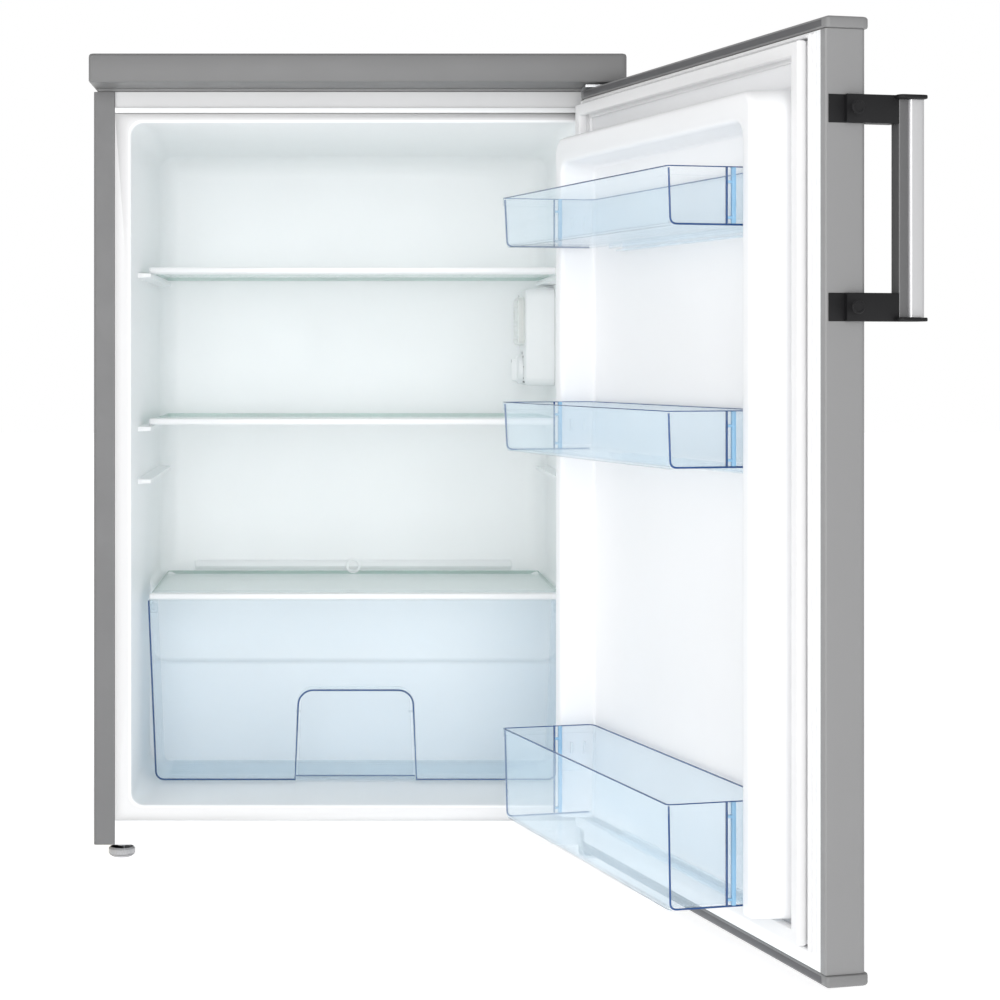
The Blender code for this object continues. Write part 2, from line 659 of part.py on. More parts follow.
def hinge_brackets(fridge):
    """Flat plates above and below the door, each with the pin that the door turns on."""
    left, right, front = HINGE_X - PLATE_LEFT, HINGE_X + PLATE_RIGHT, HINGE_Y - PLATE_FRONT
    low, high = CABINET_TOP + GAP, WORKTOP_UNDERSIDE - 2 * GAP
    upper = box("upper_hinge_bracket", (left, front, low), (right, PLATE_BACK, high), "zinc", fridge)
    at = (HINGE_X, HINGE_Y)
    fuse(upper, disc("upper_pin", PIN_RADIUS, DOOR_TOP - CAP_HEIGHT + 0.001, low + 0.001, None, fridge, at))
    top, under_door = CABINET_BOTTOM - GAP, DOOR_BOTTOM - 2 * GAP
    bottom, behind = under_door - 0.0025, PLATE_BACK - 0.005
    outline = [(front, bottom), (behind, bottom), (behind, top)]
    outline += [(0.002, top), (0.002, under_door), (front, under_door)]
    lower = prism("lower_hinge_bracket", [outline], left, right, "zinc", fridge, "YZ")
    pin = disc("lower_pin", PIN_RADIUS, under_door - 0.001, DOOR_BOTTOM + CAP_HEIGHT - 0.001, None, fridge, at)
    foot = (foot_places()[1][1], FOOT_SETBACK)
    hole = disc("bracket_hole", STEM_HOLE, 0.0, STEM_TOP, None, fridge, foot, 12)
    cut(fuse(lower, pin), hole)


# Cooling system

def compressor(fridge):
    """The welded pot on its foot plate, its four rubber mounts and the start box on its side."""
    middle = (COMPRESSOR_BOTTOM + COMPRESSOR_TOP) / 2
    half, radius = (COMPRESSOR_TOP - COMPRESSOR_BOTTOM) / 2, COMPRESSOR_RADIUS
    dome = [(0.0, half), (radius * 0.55, half - 0.006), (radius * 0.88, half - 0.024), (radius, half - 0.050)]
    profile = dome + [(radius + SEAM, 0.0), (radius, -0.004)] + [(r, -z) for r, z in dome[2::-1]]
    at = (COMPRESSOR_X, COMPRESSOR_Y, middle)
    pot = turned("compressor", profile, "black_paint", fridge, at, steps=20)
    pot.scale = (COMPRESSOR_STRETCH, 1.0, 1.0)
    reach_x, reach_y = GROMMET_X + FOOT_PLATE_RIM, GROMMET_Y + FOOT_PLATE_RIM
    low = (COMPRESSOR_X - reach_x, COMPRESSOR_Y - reach_y, FOOT_PLATE_Z)
    high = (COMPRESSOR_X + reach_x, COMPRESSOR_Y + reach_y, FOOT_PLATE_Z + FOOT_PLATE_THICKNESS)
    fuse(pot, box("foot_plate", low, high, None, fridge))
    corners = [(x, y) for x in (-GROMMET_X, GROMMET_X) for y in (-GROMMET_Y, GROMMET_Y)]
    for number, (x, y) in enumerate(corners, 1):
        place = (COMPRESSOR_X + x, COMPRESSOR_Y + y)
        top = FOOT_PLATE_Z - GAP
        disc(f"rubber_mount_{number}", GROMMET_RADIUS, BASE_TOP, top, "rubber", fridge, place, 12)
    side = COMPRESSOR_X - (COMPRESSOR_RADIUS + SEAM) * COMPRESSOR_STRETCH - GAP
    box_low = (side - START_BOX_DEPTH, COMPRESSOR_Y - START_BOX_HALF, START_BOX_BOTTOM)
    box_high = (side, COMPRESSOR_Y + START_BOX_HALF, START_BOX_TOP)
    box("start_box", box_low, box_high, "black_plastic", fridge, 0.003, 1)


def drip_pan(fridge):
    """The pan on top of the compressor, and the spout that drains into it."""
    bottom, wall = COMPRESSOR_TOP + GAP, PAN_WALL
    low = (COMPRESSOR_X - PAN_HALF_LENGTH, COMPRESSOR_Y - PAN_HALF_WIDTH)
    high = (COMPRESSOR_X + PAN_HALF_LENGTH, COMPRESSOR_Y + PAN_HALF_WIDTH)
    outline = rounded_rectangle(low, high, PAN_RADIUS, 2)
    pan = prism("drip_pan", [outline], bottom, bottom + PAN_HEIGHT, "black_plastic", fridge)
    inner_low, inner_high = [c + wall for c in low], [c - wall for c in high]
    inner = rounded_rectangle(inner_low, inner_high, PAN_RADIUS - wall, 2)
    cut(pan, prism("pan_hollow", [inner], bottom + wall, bottom + 0.1, None, fridge))
    top = BAY_TOP - SHEET - 2 * GAP
    neck, end = top - 0.0025, bottom + 0.014
    spout = [(SPOUT_BORE, top), (SPOUT_FLANGE, top), (SPOUT_FLANGE, neck)]
    spout += [(SPOUT_RADIUS, neck), (SPOUT_RADIUS, end), (SPOUT_BORE, end)]
    at = (COMPRESSOR_X - 0.030, COMPRESSOR_Y - 0.020, 0.0)
    turned("drain_spout", spout, "white_plastic", fridge, at, steps=16)


def serpentine():
    """The condenser's path, from the compressor's side up to the top run and back down."""
    top = CONDENSER_BOTTOM + CONDENSER_PITCH * (CONDENSER_RUNS - 1)
    bend = CONDENSER_PITCH / 2
    riser = CONDENSER_HALF + RISER_OFFSET
    start = riser - 0.006
    points = [(start, COMPRESSOR_Y + 0.020, DISCHARGE_HEIGHT), (start, CONDENSER_Y - 0.008, DISCHARGE_HEIGHT)]
    points += [(riser, CONDENSER_Y, DISCHARGE_HEIGHT + 0.008), (riser, CONDENSER_Y, top - 0.012)]
    points.append((riser - 0.012, CONDENSER_Y, top))
    for run in range(CONDENSER_RUNS):
        side = -1 if run % 2 == 0 else 1
        height = top - run * CONDENSER_PITCH
        if run == CONDENSER_RUNS - 1:
            points.append((-side * DRIER_END, CONDENSER_Y, height))
            continue
        turn = arc((0.0, height - bend), bend, 90, -90, 6)
        points += [(side * (CONDENSER_HALF - bend + x), CONDENSER_Y, z) for x, z in turn]
    return points


def condenser(fridge):
    """The condenser tube on its two mounting rails, and the drier at the tube's lower end."""
    points = serpentine()
    tube("condenser_tube", points, CONDENSER_TUBE, "black_paint", fridge)
    rail_top = CONDENSER_BOTTOM + CONDENSER_PITCH * CONDENSER_RUNS - 0.010
    back = CONDENSER_Y - CONDENSER_TUBE - GAP
    front = CABINET_DEPTH + SHEET + 2 * GAP
    for side, x in (("left", -RAIL_X), ("right", RAIL_X)):
        low = (x - RAIL_HALF, front, CONDENSER_BOTTOM - 0.040)
        box(f"condenser_rail_{side}", low, (x + RAIL_HALF, back, rail_top), "black_paint", fridge)
    upper = [(0.0, DRIER_HALF), (DRIER_NECK, DRIER_HALF), (DRIER_NECK, DRIER_HALF - 0.008)]
    upper.append((DRIER_RADIUS, DRIER_HALF - 0.016))
    profile = upper + [(r, -z) for r, z in upper[::-1]]
    end = points[-1]
    at = (end[0] - math.copysign(DRIER_HALF + GAP, end[0]), CONDENSER_Y, end[2])
    turned("filter_drier", profile, "copper", fridge, at, (0.0, math.pi / 2, 0.0), 12)


def suction_tube(fridge):
    """The tube from the compressor's side, round its back and into the cabinet's rear wall."""
    near = COMPRESSOR_X + (COMPRESSOR_RADIUS + SEAM) * COMPRESSOR_STRETCH + 0.004
    bend, riser, low = near + 0.024, near + 0.020, 0.100
    behind = CABINET_DEPTH + 0.012
    points = [(near, COMPRESSOR_Y + 0.004, low), (near + 0.018, COMPRESSOR_Y + 0.010, low)]
    points += [(bend, COMPRESSOR_Y + 0.020, low + 0.006), (bend, COMPRESSOR_Y + 0.050, low + 0.035)]
    points += [(riser, behind, low + 0.065), (riser, behind, BAY_TOP + 0.042)]
    points.append((riser, CABINET_DEPTH + SHEET + 0.004, BAY_TOP + 0.054))
    tube("suction_tube", points, SUCTION_RADIUS, "copper", fridge)


# Inside the food space

def shelves(fridge):
    """Three glass shelves, each in a white plastic front strip."""
    for name, bottom in SHELF_TRIM_HEIGHTS.items():
        top = bottom + SHELF_TRIM_HEIGHT
        slot_low = bottom + (SHELF_TRIM_HEIGHT - GLASS_THICKNESS) / 2
        slot_high = slot_low + GLASS_THICKNESS
        front, back = SHELF_SETBACK, SHELF_SETBACK + SHELF_TRIM_DEPTH
        slot = front + SHELF_LIP
        outline = [(front, bottom), (back, bottom), (back, slot_low - GAP), (slot, slot_low - GAP)]
        outline += [(slot, slot_high + GAP), (back, slot_high + GAP), (back, top), (front, top)]
        prism(f"shelf_{name}_trim", [outline], -SHELF_HALF, SHELF_HALF, "white_plastic", fridge, "YZ")
        low = (-SHELF_HALF, slot + GAP, slot_low)
        box(f"shelf_{name}_glass", low, (SHELF_HALF, SHELF_BACK, slot_high), "glass", fridge)


def drawer_outline(half_bottom, half_top, bottom, top, radius):
    """A drawer's front view: straight sides that lean out, and rounded lower corners."""
    outline = [(half_top, top)] + arc((half_bottom - radius, bottom + radius), radius, 0, -90, 3)
    return (outline + [(-x, z) for x, z in outline[::-1]])[::-1]


def grip_outline(grow, bottom):
    """The arched finger recess in the drawer's front."""
    half, radius = GRIP_HALF_TOP + grow, GRIP_RADIUS + grow
    top = GRIP_TOP + grow
    outline = [(GRIP_HALF_BOTTOM + grow, bottom)]
    outline += arc((half - radius, top - radius), radius, 0, 90, 4)
    return outline + [(-x, z) for x, z in outline[::-1]]


def crisper(fridge):
    """The clear drawer under the lowest shelf."""
    front, back, wall = DRAWER_FRONT, DRAWER_BACK, DRAWER_WALL
    outer = drawer_outline(DRAWER_HALF_BOTTOM, DRAWER_HALF_TOP, DRAWER_BOTTOM, DRAWER_TOP, DRAWER_RADIUS)
    drawer = prism("crisper_drawer", [outer], front, back, "clear_blue", fridge, "XZ")
    inner = drawer_outline(
        DRAWER_HALF_BOTTOM - wall, DRAWER_HALF_TOP - wall + 0.001,
        DRAWER_BOTTOM + wall, DRAWER_TOP + 0.02, DRAWER_RADIUS - wall,
    )
    hollow = prism("drawer_hollow", [inner], front + wall, back - wall, None, fridge, "XZ")
    below, before = DRAWER_BOTTOM - 0.01, front - 0.01
    kept = grip_outline(wall, below)
    cut(hollow, prism("grip_wall", [kept], before, front + GRIP_DEPTH + wall, None, fridge, "XZ"))
    grip = grip_outline(0.0, below)
    cut(drawer, hollow, prism("grip_recess", [grip], before, front + GRIP_DEPTH, None, fridge, "XZ"))


def lamp_and_thermostat(fridge):
    """The box on the right-hand wall, its lamp behind a lens, and the thermostat's knob."""
    low, high = (LAMP_FACE, LAMP_FRONT, LAMP_BOTTOM), (CAVITY_HALF - GAP, LAMP_BACK, LAMP_TOP)
    housing = box("lamp_housing", low, high, "white_plastic", fridge, 0.005, 1)
    bottom, top = KNOB_HEIGHT + KNOB_RADIUS + LENS_INSET, LAMP_TOP - 0.010
    lens_low = (LAMP_FACE - LENS_DEPTH, LAMP_FRONT + LENS_INSET, bottom)
    lens_high = (LAMP_FACE - GAP, LAMP_BACK - LENS_INSET, top)
    lens = box("lamp_lens", lens_low, lens_high, "lamp_white", fridge)
    hollow_low = [c + LENS_WALL for c in lens_low]
    hollow_high = (LAMP_FACE + 0.01, lens_high[1] - LENS_WALL, top - LENS_WALL)
    cut(lens, box("lens_hollow", hollow_low, hollow_high, None, fridge))
    middle, room = (LAMP_FRONT + LAMP_BACK) / 2, LAMP_HALF + LAMP_CLEARANCE
    well_low = (LAMP_FACE - 0.01, middle - room, bottom + LAMP_CLEARANCE)
    well_high = (LAMP_FACE + LAMP_WELL_DEPTH, middle + room, top - LAMP_CLEARANCE)
    cut(housing, box("lamp_well", well_low, well_high, None, fridge))
    lamp_low = (LAMP_FACE - 0.002, middle - LAMP_HALF, bottom + 2 * LAMP_CLEARANCE)
    lamp_high = (LAMP_FACE + LAMP_WELL_DEPTH - GAP, middle + LAMP_HALF, top - 2 * LAMP_CLEARANCE)
    box("lamp", lamp_low, lamp_high, "lamp_white", fridge, 0.004, 2)
    radius, depth = KNOB_RADIUS, KNOB_DEPTH
    profile = [(0.0, depth), (radius - 0.003, depth), (radius - 0.001, depth - 0.0015)]
    profile += [(radius, 0.0), (0.0, 0.0)]
    at = (LAMP_FACE - GAP, middle, KNOB_HEIGHT)
    knob = turned("thermostat_knob", profile, "white_plastic", fridge, at, (0.0, -math.pi / 2, 0.0), 24)
    face = at[0] - depth
    bar_low = (face - KNOB_BAR_HEIGHT, middle - 0.003, KNOB_HEIGHT - KNOB_BAR_HALF)
    bar_high = (face + 0.001, middle + 0.003, KNOB_HEIGHT + KNOB_BAR_HALF)
    fuse(knob, box("knob_bar", bar_low, bar_high, None, fridge))


# Door, drawn shut in door coordinates

def door_shell(pivot):
    """The painted skin and the foam in it."""
    radius, inner = SKIN_RADIUS, DOOR_INNER
    path = [(DOOR_FREE_SIDE + SKIN_HEM, inner), (DOOR_FREE_SIDE, inner)]
    path += arc((DOOR_FREE_SIDE + radius, DOOR_OUTER + radius), radius, 180, 270, 3)
    path += arc((DOOR_HINGE_SIDE - radius, DOOR_OUTER + radius), radius, 270, 360, 3)
    path += [(DOOR_HINGE_SIDE, inner), (DOOR_HINGE_SIDE - SKIN_HEM, inner)]
    prism("door_skin", [sheet_outline(path, SHEET)], SKIN_BOTTOM, SKIN_TOP, "grey_steel", pivot)
    inset = SHEET + GAP
    low = (DOOR_FREE_SIDE + inset, DOOR_OUTER + inset)
    high = (DOOR_HINGE_SIDE - inset, inner - DOOR_LINER - GAP - inset)
    foam = rounded_rectangle(low, high, radius, 2)
    prism("door_insulation", [foam], SKIN_BOTTOM, SKIN_TOP, "foam", pivot)


def door_caps(pivot):
    """The mouldings on the door's ends, and the bushes in them that turn on the hinge pins."""
    low = (DOOR_FREE_SIDE - CAP_LIP, DOOR_OUTER - CAP_LIP)
    outline = rounded_rectangle(low, (DOOR_HINGE_SIDE, DOOR_INNER), CAP_RADIUS, 3)
    bore = PIN_RADIUS + PIN_CLEARANCE
    for name, start in (("bottom", DOOR_BOTTOM), ("top", DOOR_TOP - CAP_HEIGHT)):
        end = start + CAP_HEIGHT
        cap = prism(f"door_cap_{name}", [outline], start, end, "cap_grey", pivot)
        hole = (BUSH_RADIUS + GAP, start - 0.01, end + 0.01)
        cut(cap, disc(f"bush_hole_{name}", *hole, None, pivot, (0, 0)))
        profile = [(bore, end), (BUSH_RADIUS, end), (BUSH_RADIUS, start), (bore, start)]
        turned(f"hinge_bush_{name}", profile, "white_plastic", pivot, (0.0, 0.0, 0.0))


def bulge_prism(name, grow, face, look, pivot):
    """The raised part of the door's liner, smaller all round by a negative grow."""
    low = (BULGE_FREE_SIDE - grow, BULGE_BOTTOM - grow)
    high = (BULGE_HINGE_SIDE + grow, BULGE_TOP + grow)
    outline = rounded_rectangle(low, high, BULGE_RADIUS + grow)
    return prism(name, [outline], DOOR_INNER - DOOR_LINER, face, look, pivot, "XZ")


def recess_prism(name, grow, pivot):
    """The space between the liner's ribs where the bins hang, open at its lower end."""
    low = (BULGE_FREE_SIDE + RIB_WIDTH - grow, BULGE_BOTTOM - 0.1)
    high = (BULGE_HINGE_SIDE - RIB_WIDTH + grow, BULGE_TOP - RECESS_TOP_WALL + grow)
    outline = rounded_rectangle(low, high, RECESS_RADIUS + grow, 3)
    return prism(name, [outline], RECESS_FLOOR - grow, 0.2, None, pivot, "XZ")


def door_liner(pivot):
    """The vacuum-formed inner door: a flange, two upright ribs joined at the top, and a flat back."""
    hem = SKIN_HEM + GAP
    low = (DOOR_FREE_SIDE + hem, DOOR_INNER - DOOR_LINER, SKIN_BOTTOM)
    high = (DOOR_HINGE_SIDE - hem, DOOR_INNER, SKIN_TOP)
    liner = box("door_liner", low, high, "white_plastic", pivot)
    bulge = bulge_prism("door_bulge", 0.0, BULGE_FACE, None, pivot)
    cut(bulge, recess_prism("bin_recess", 0.0, pivot))
    hollow = bulge_prism("bulge_hollow", -DOOR_LINER, BULGE_FACE - DOOR_LINER, None, pivot)
    hollow.location.y = -SHEET - GAP
    cut(hollow, recess_prism("bin_recess_back", DOOR_LINER, pivot))
    cut(fuse(liner, bulge), hollow)


def ring(name, insets, start, end, look, pivot):
    """A rectangular frame round the door's inside, between two insets from each of its edges."""
    outlines = []
    for side, top, bottom in insets:
        low = (DOOR_FREE_SIDE + side, DOOR_BOTTOM + bottom)
        outlines.append(rectangle(low, (DOOR_HINGE_SIDE - side, DOOR_TOP - top)))
    return prism(name, outlines, start, end, look, pivot, "XZ")


def gasket(pivot):
    """The magnetic seal: a flat foot on the liner's flange and a raised lip that meets the cabinet."""
    foot = ((0.0095, 0.011, 0.024), (0.036, 0.032, 0.044))
    lip = ((0.022, 0.018, 0.030), (0.034, 0.030, 0.042))
    shut, top = -HINGE_Y - GAP, DOOR_INNER + GASKET_FOOT
    seal = ring("door_gasket", foot, DOOR_INNER + GAP, top, "gasket_grey", pivot)
    fuse(seal, ring("gasket_lip", lip, top - 0.001, shut, None, pivot))


def door_bins(pivot):
    """Three clear bins between the liner's ribs; each lifts off."""
    left = BULGE_FREE_SIDE + RIB_WIDTH + BIN_END_GAP
    right = BULGE_HINGE_SIDE - RIB_WIDTH - BIN_END_GAP
    for name, rim in BIN_RIMS.items():
        bottom = rim - BIN_HEIGHTS[name]
        outer = rounded_rectangle((left, BIN_BACK), (right, BIN_FRONT), BIN_RADIUS, 3)
        made = prism(f"door_bin_{name}", [outer], bottom, rim, "clear_blue", pivot)
        low, high = (left + BIN_WALL, BIN_BACK + BIN_WALL), (right - BIN_WALL, BIN_FRONT - BIN_WALL)
        inner = rounded_rectangle(low, high, BIN_RADIUS - BIN_WALL, 3)
        cut(made, prism(f"bin_hollow_{name}", [inner], bottom + BIN_WALL, rim + 0.05, None, pivot))


def handle(pivot):
    """A bar between two black brackets screwed to the door's free side, with caps over the screws."""
    bottom = HANDLE_TOP - HANDLE_LENGTH
    near, bar_side = DOOR_FREE_SIDE - GAP, BAR_FRONT - GAP
    plan = [(near, BRACKET_INNER), (BRACKET_STEP, BRACKET_INNER), (BRACKET_STEP, BRACKET_STEP_END)]
    plan += [(BRACKET_FRONT, BRACKET_STEP_END), (BRACKET_FRONT, BRACKET_OUTER), (bar_side, BRACKET_OUTER)]
    plan += [(bar_side, BAR_INNER + GAP), (near, BAR_INNER + GAP)]
    arms = (("lower", bottom, bottom), ("upper", HANDLE_TOP - BRACKET_HEIGHT, HANDLE_TOP - BAR_CAP))
    for name, start, cap_start in arms:
        arm = prism(f"handle_bracket_{name}", [plan], start, start + BRACKET_HEIGHT, "black_plastic", pivot)
        cap_low, cap_high = (BRACKET_FRONT, BAR_OUTER), (BAR_FRONT + BAR_DEPTH, BAR_INNER + 0.004)
        lid = rounded_rectangle(cap_low, cap_high, 0.005, 2)
        fuse(arm, prism(f"bar_end_{name}", [lid], cap_start, cap_start + BAR_CAP, None, pivot))
        at = (BRACKET_FRONT - GAP, (DOOR_INNER + DOOR_OUTER) / 2 - 0.003, start + BRACKET_HEIGHT / 2)
        radius, depth = SCREW_CAP_RADIUS, SCREW_CAP_DEPTH - GAP
        profile = [(0.0, depth), (radius, depth), (radius, 0.0), (0.0, 0.0)]
        turned(f"screw_cap_{name}", profile, "black_plastic", pivot, at, (0.0, -math.pi / 2, 0.0), 16)
    section = rounded_rectangle((BAR_FRONT, BAR_OUTER), (BAR_FRONT + BAR_DEPTH, BAR_INNER), 0.006, 3)
    prism("handle_bar", [section], bottom + BAR_CAP + GAP, HANDLE_TOP - BAR_CAP - GAP, "aluminium", pivot)


def build():
    clear_scene()
    new_collection("mini_fridge")
    new_collection("cutters")
    fridge = empty("fridge", (-ORIGIN_X, -ORIGIN_Y, 0.0))
    side_panels(fridge)
    worktop(fridge)
    trims(fridge)
    inner_liner(fridge)
    insulation(fridge)
    cabinet_sheets(fridge)
    cable_inlet(fridge)
    feet(fridge)
    hinge_brackets(fridge)
    compressor(fridge)
    drip_pan(fridge)
    condenser(fridge)
    suction_tube(fridge)
    shelves(fridge)
    crisper(fridge)
    lamp_and_thermostat(fridge)
    pivot = empty("door_pivot", (HINGE_X, HINGE_Y, 0.0), fridge, OPEN)
    door_shell(pivot)
    door_caps(pivot)
    door_liner(pivot)
    gasket(pivot)
    door_bins(pivot)
    handle(pivot)


build()
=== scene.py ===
"""Looks of the under-counter mini fridge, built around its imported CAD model.

Cabinet pieces are drawn in cabinet coordinates: X = 0 in the middle, Y = 0 on the face that the door
seals against, Z = 0 on the floor. Door pieces are drawn with the door shut, from the hinge axis: X runs
from the free side (negative) to the hinge, and Y into the door's inside. Metres throughout.
"""
import json
import math

import bmesh
import bpy
from mathutils import Matrix, Vector


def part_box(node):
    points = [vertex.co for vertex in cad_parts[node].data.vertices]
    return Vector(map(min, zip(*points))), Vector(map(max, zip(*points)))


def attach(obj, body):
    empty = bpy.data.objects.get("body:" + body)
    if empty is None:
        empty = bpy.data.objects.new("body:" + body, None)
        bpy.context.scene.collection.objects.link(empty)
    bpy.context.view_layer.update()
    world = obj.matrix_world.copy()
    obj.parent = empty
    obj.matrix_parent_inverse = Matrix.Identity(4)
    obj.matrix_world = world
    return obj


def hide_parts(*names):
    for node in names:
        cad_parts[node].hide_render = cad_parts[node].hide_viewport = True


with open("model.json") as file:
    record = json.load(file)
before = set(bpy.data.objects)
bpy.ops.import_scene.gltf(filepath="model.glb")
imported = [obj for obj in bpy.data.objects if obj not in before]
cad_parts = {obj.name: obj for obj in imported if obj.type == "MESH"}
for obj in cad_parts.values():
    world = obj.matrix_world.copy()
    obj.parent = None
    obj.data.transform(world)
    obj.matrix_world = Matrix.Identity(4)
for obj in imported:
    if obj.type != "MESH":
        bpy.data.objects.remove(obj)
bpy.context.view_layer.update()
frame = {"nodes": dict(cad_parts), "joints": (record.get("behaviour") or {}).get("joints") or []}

JOINTS = {joint["name"]: joint for joint in frame["joints"]}
HINGE = Vector(JOINTS["door_hinge"]["pos_m"])
OPEN = -math.radians(JOINTS["door_hinge"]["range_deg"][0])
MIDDLE_X = (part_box("side_panel_left")[0].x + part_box("side_panel_right")[1].x) / 2
CABINET = Matrix.Translation((MIDDLE_X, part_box("side_panel_left")[0].y, 0.0))
DOOR = Matrix.Translation((HINGE.x, HINGE.y, 0.0)) @ Matrix.Rotation(OPEN, 4, "Z")
ON_DOOR = ("door", "bin_top", "bin_middle", "bin_bottom")


def extent(node, place=CABINET):
    """The lowest and highest corner of a CAD node, in the cabinet's or the door's own coordinates."""
    back = place.inverted()
    points = [back @ vert.co for vert in frame["nodes"][node].data.vertices]
    return [Vector([pick(p[k] for p in points) for k in range(3)]) for pick in (min, max)]


def over(low, high, height=0.0):
    """The point at a height over the middle of a box."""
    return Vector(((low.x + high.x) / 2, (low.y + high.y) / 2, height))


# Sizes that the CAD nodes' boxes don't give
CAVITY_HALF = 0.238
CAVITY_FLOOR = 0.060
CAVITY_TOP = 0.779
CAVITY_LIP = 0.0025
LINER = 0.002
STEP_FRONT, STEP_TOP = 0.2503, 0.178
HUMP_FRONT, HUMP_TOP = 0.2623, 0.258
GUIDE_FRONT = 0.085
GUIDE_REACH = 0.0135
SPARE_GUIDE_HEIGHT = 0.400
RIB_WIDTH = 0.022
RIB_FACE = 0.062
PANEL_FACE = 0.026

CAVITY_BACK = extent("inner_liner")[1].y - LINER
SHELVES = ("top", "middle", "bottom")


# Outlines and shells. A shell is (vertices, faces, marks), and a mark picks one of the piece's materials.

def arc(centre, radius, start_deg, end_deg, steps=6):
    turns = [math.radians(start_deg + (end_deg - start_deg) * i / steps) for i in range(steps + 1)]
    return [(centre[0] + radius * math.cos(t), centre[1] + radius * math.sin(t)) for t in turns]


def rounded(low, high, radius, steps=6):
    """A rectangle with round corners, anticlockwise. The radius is one number, or one for each corner."""
    (x0, y0), (x1, y1) = low, high
    radii = radius if isinstance(radius, tuple) else (radius,) * 4
    corners = ((x1, y1, -1, -1, 0), (x0, y1, 1, -1, 90), (x0, y0, 1, 1, 180), (x1, y0, -1, 1, 270))
    outline = []
    for (x, y, side_x, side_y, start), r in zip(corners, radii):
        outline += arc((x + side_x * r, y + side_y * r), r, start, start + 90, steps)
    return outline


def footprint(low, high, radius, steps=6):
    """The rounded rectangle that a box covers, seen from above."""
    return rounded((low.x, low.y), (high.x, high.y), radius, steps)


def offset(outline, distance):
    """The outline moved outwards by the distance, corner by corner."""
    moved = []
    for i, (x, y) in enumerate(outline):
        (xa, ya), (xb, yb) = outline[i - 1], outline[(i + 1) % len(outline)]
        first, second = Vector((y - ya, xa - x)).normalized(), Vector((yb - y, x - xb)).normalized()
        shift = (first + second) * (distance / (1 + first.dot(second)))
        moved.append((x + shift.x, y + shift.y))
    return moved


def sheet(path, thickness):
    """The outline of a bent sheet that lies on the left of an open path."""
    left = []
    for i, (x, y) in enumerate(path):
        normals = []
        for a, b in ((i - 1, i), (i, i + 1)):
            if a >= 0 and b < len(path):
                along = Vector(path[b]) - Vector(path[a])
                normals.append(Vector((-along.y, along.x)).normalized())
        mean = sum(normals, Vector((0, 0))) / len(normals)
        shift = mean * (thickness / mean.length_squared)
        left.append((x + shift.x, y + shift.y))
    return list(path) + left[::-1]


PLANES = {
    "XY": lambda a, b, level: Vector((a, b, level)),
    "XZ": lambda a, b, level: Vector((a, level, b)),
    "YZ": lambda a, b, level: Vector((level, a, b)),
}


def loft(rings, wrap=False, marks=None):
    """Closed rings of equal length joined in order, with capped ends unless they wrap round."""
    size, count = len(rings[0]), len(rings)
    verts = [point for ring in rings for point in ring]
    faces, looks = [], []
    for k in range(count if wrap else count - 1):
        here, there = k * size, (k + 1) % count * size
        for i in range(size):
            j = (i + 1) % size
            faces.append((here + i, here + j, there + j, there + i))
            looks.append(marks[k] if marks else 0)
    if not wrap:
        faces += [tuple(range(size))[::-1], tuple(range((count - 1) * size, count * size))]
        looks += [marks[0], marks[-1]] if marks else [0, 0]
    return verts, faces, looks


def swept(outline, profile, plane="XY", wrap=False, marks=None):
    """An outline carried through a profile of (offset, level) steps."""
    rings = [[PLANES[plane](a, b, level) for a, b in offset(outline, grow)] for grow, level in profile]
    return loft(rings, wrap, marks)


def prism(outline, start, end, plane="XY", edge=0.0):
    """An extruded outline, with its two rims rounded by edge."""
    if not edge:
        return swept(outline, [(0.0, start), (0.0, end)], plane)
    rim = [(edge * (math.sin(t) - 1), edge * (1 - math.cos(t))) for t in (0.0, 0.5, 1.0, math.pi / 2)]
    low = [(grow, start + level) for grow, level in rim]
    high = [(grow, end - level) for grow, level in rim[::-1]]
    return swept(outline, low + high, plane)


def shell_of(shape):
    shape.verts.index_update()
    found = [v.co.copy() for v in shape.verts], [[v.index for v in f.verts] for f in shape.faces]
    shape.free()
    return (*found, [0] * len(found[1]))


def bar(low, high, radius=0.001, segments=3):
    """A block with every edge rounded."""
    shape = bmesh.new()
    bmesh.ops.create_cube(shape, size=1.0)
    low, high = Vector(low), Vector(high)
    for vert in shape.verts:
        vert.co = Vector([low[k] + (high[k] - low[k]) * (vert.co[k] + 0.5) for k in range(3)])
    bmesh.ops.bevel(
        shape, geom=list(shape.edges), offset=radius, segments=segments, profile=0.5, affect="EDGES"
    )
    return shell_of(shape)


def lathe(profile, steps=40, closed=False, mark=0):
    """A profile of (radius, height) turned about the upright axis, from the bottom up its outside."""
    turns = [2 * math.pi * i / steps for i in range(steps)]
    rings = [[Vector((r * math.cos(t), r * math.sin(t), h)) for t in turns] for r, h in profile]
    verts, faces, _ = loft(rings, wrap=closed)
    return verts, faces, [mark] * len(faces)


def tube(points, radius, sides=10, mark=0):
    """A round bar along the points, with closed ends."""
    points = [Vector(p) for p in points]
    along = (points[1] - points[0]).normalized()
    side = along.orthogonal().normalized()
    rings = []
    for i, point in enumerate(points):
        before, after = points[max(i - 1, 0)], points[min(i + 1, len(points) - 1)]
        ahead = (after - before).normalized()
        side = (side - ahead * side.dot(ahead)).normalized()
        up = ahead.cross(side)
        turns = [2 * math.pi * k / sides for k in range(sides)]
        rings.append([point + (side * math.cos(t) + up * math.sin(t)) * radius for t in turns])
    verts, faces, _ = loft(rings)
    return verts, faces, [mark] * len(faces)


def bent(points, radius, steps=5):
    """The points joined by straight runs, with each inner corner rounded."""
    points = [Vector(p) for p in points]
    path = [points[0]]
    for a, b, c in zip(points, points[1:], points[2:]):
        reach = min(radius, (a - b).length / 2, (c - b).length / 2)
        start, end = b + (a - b).normalized() * reach, b + (c - b).normalized() * reach
        for i in range(steps + 1):
            t = i / steps
            path.append(start * (1 - t) ** 2 + b * (2 * t * (1 - t)) + end * t**2)
    return path + [points[-1]]


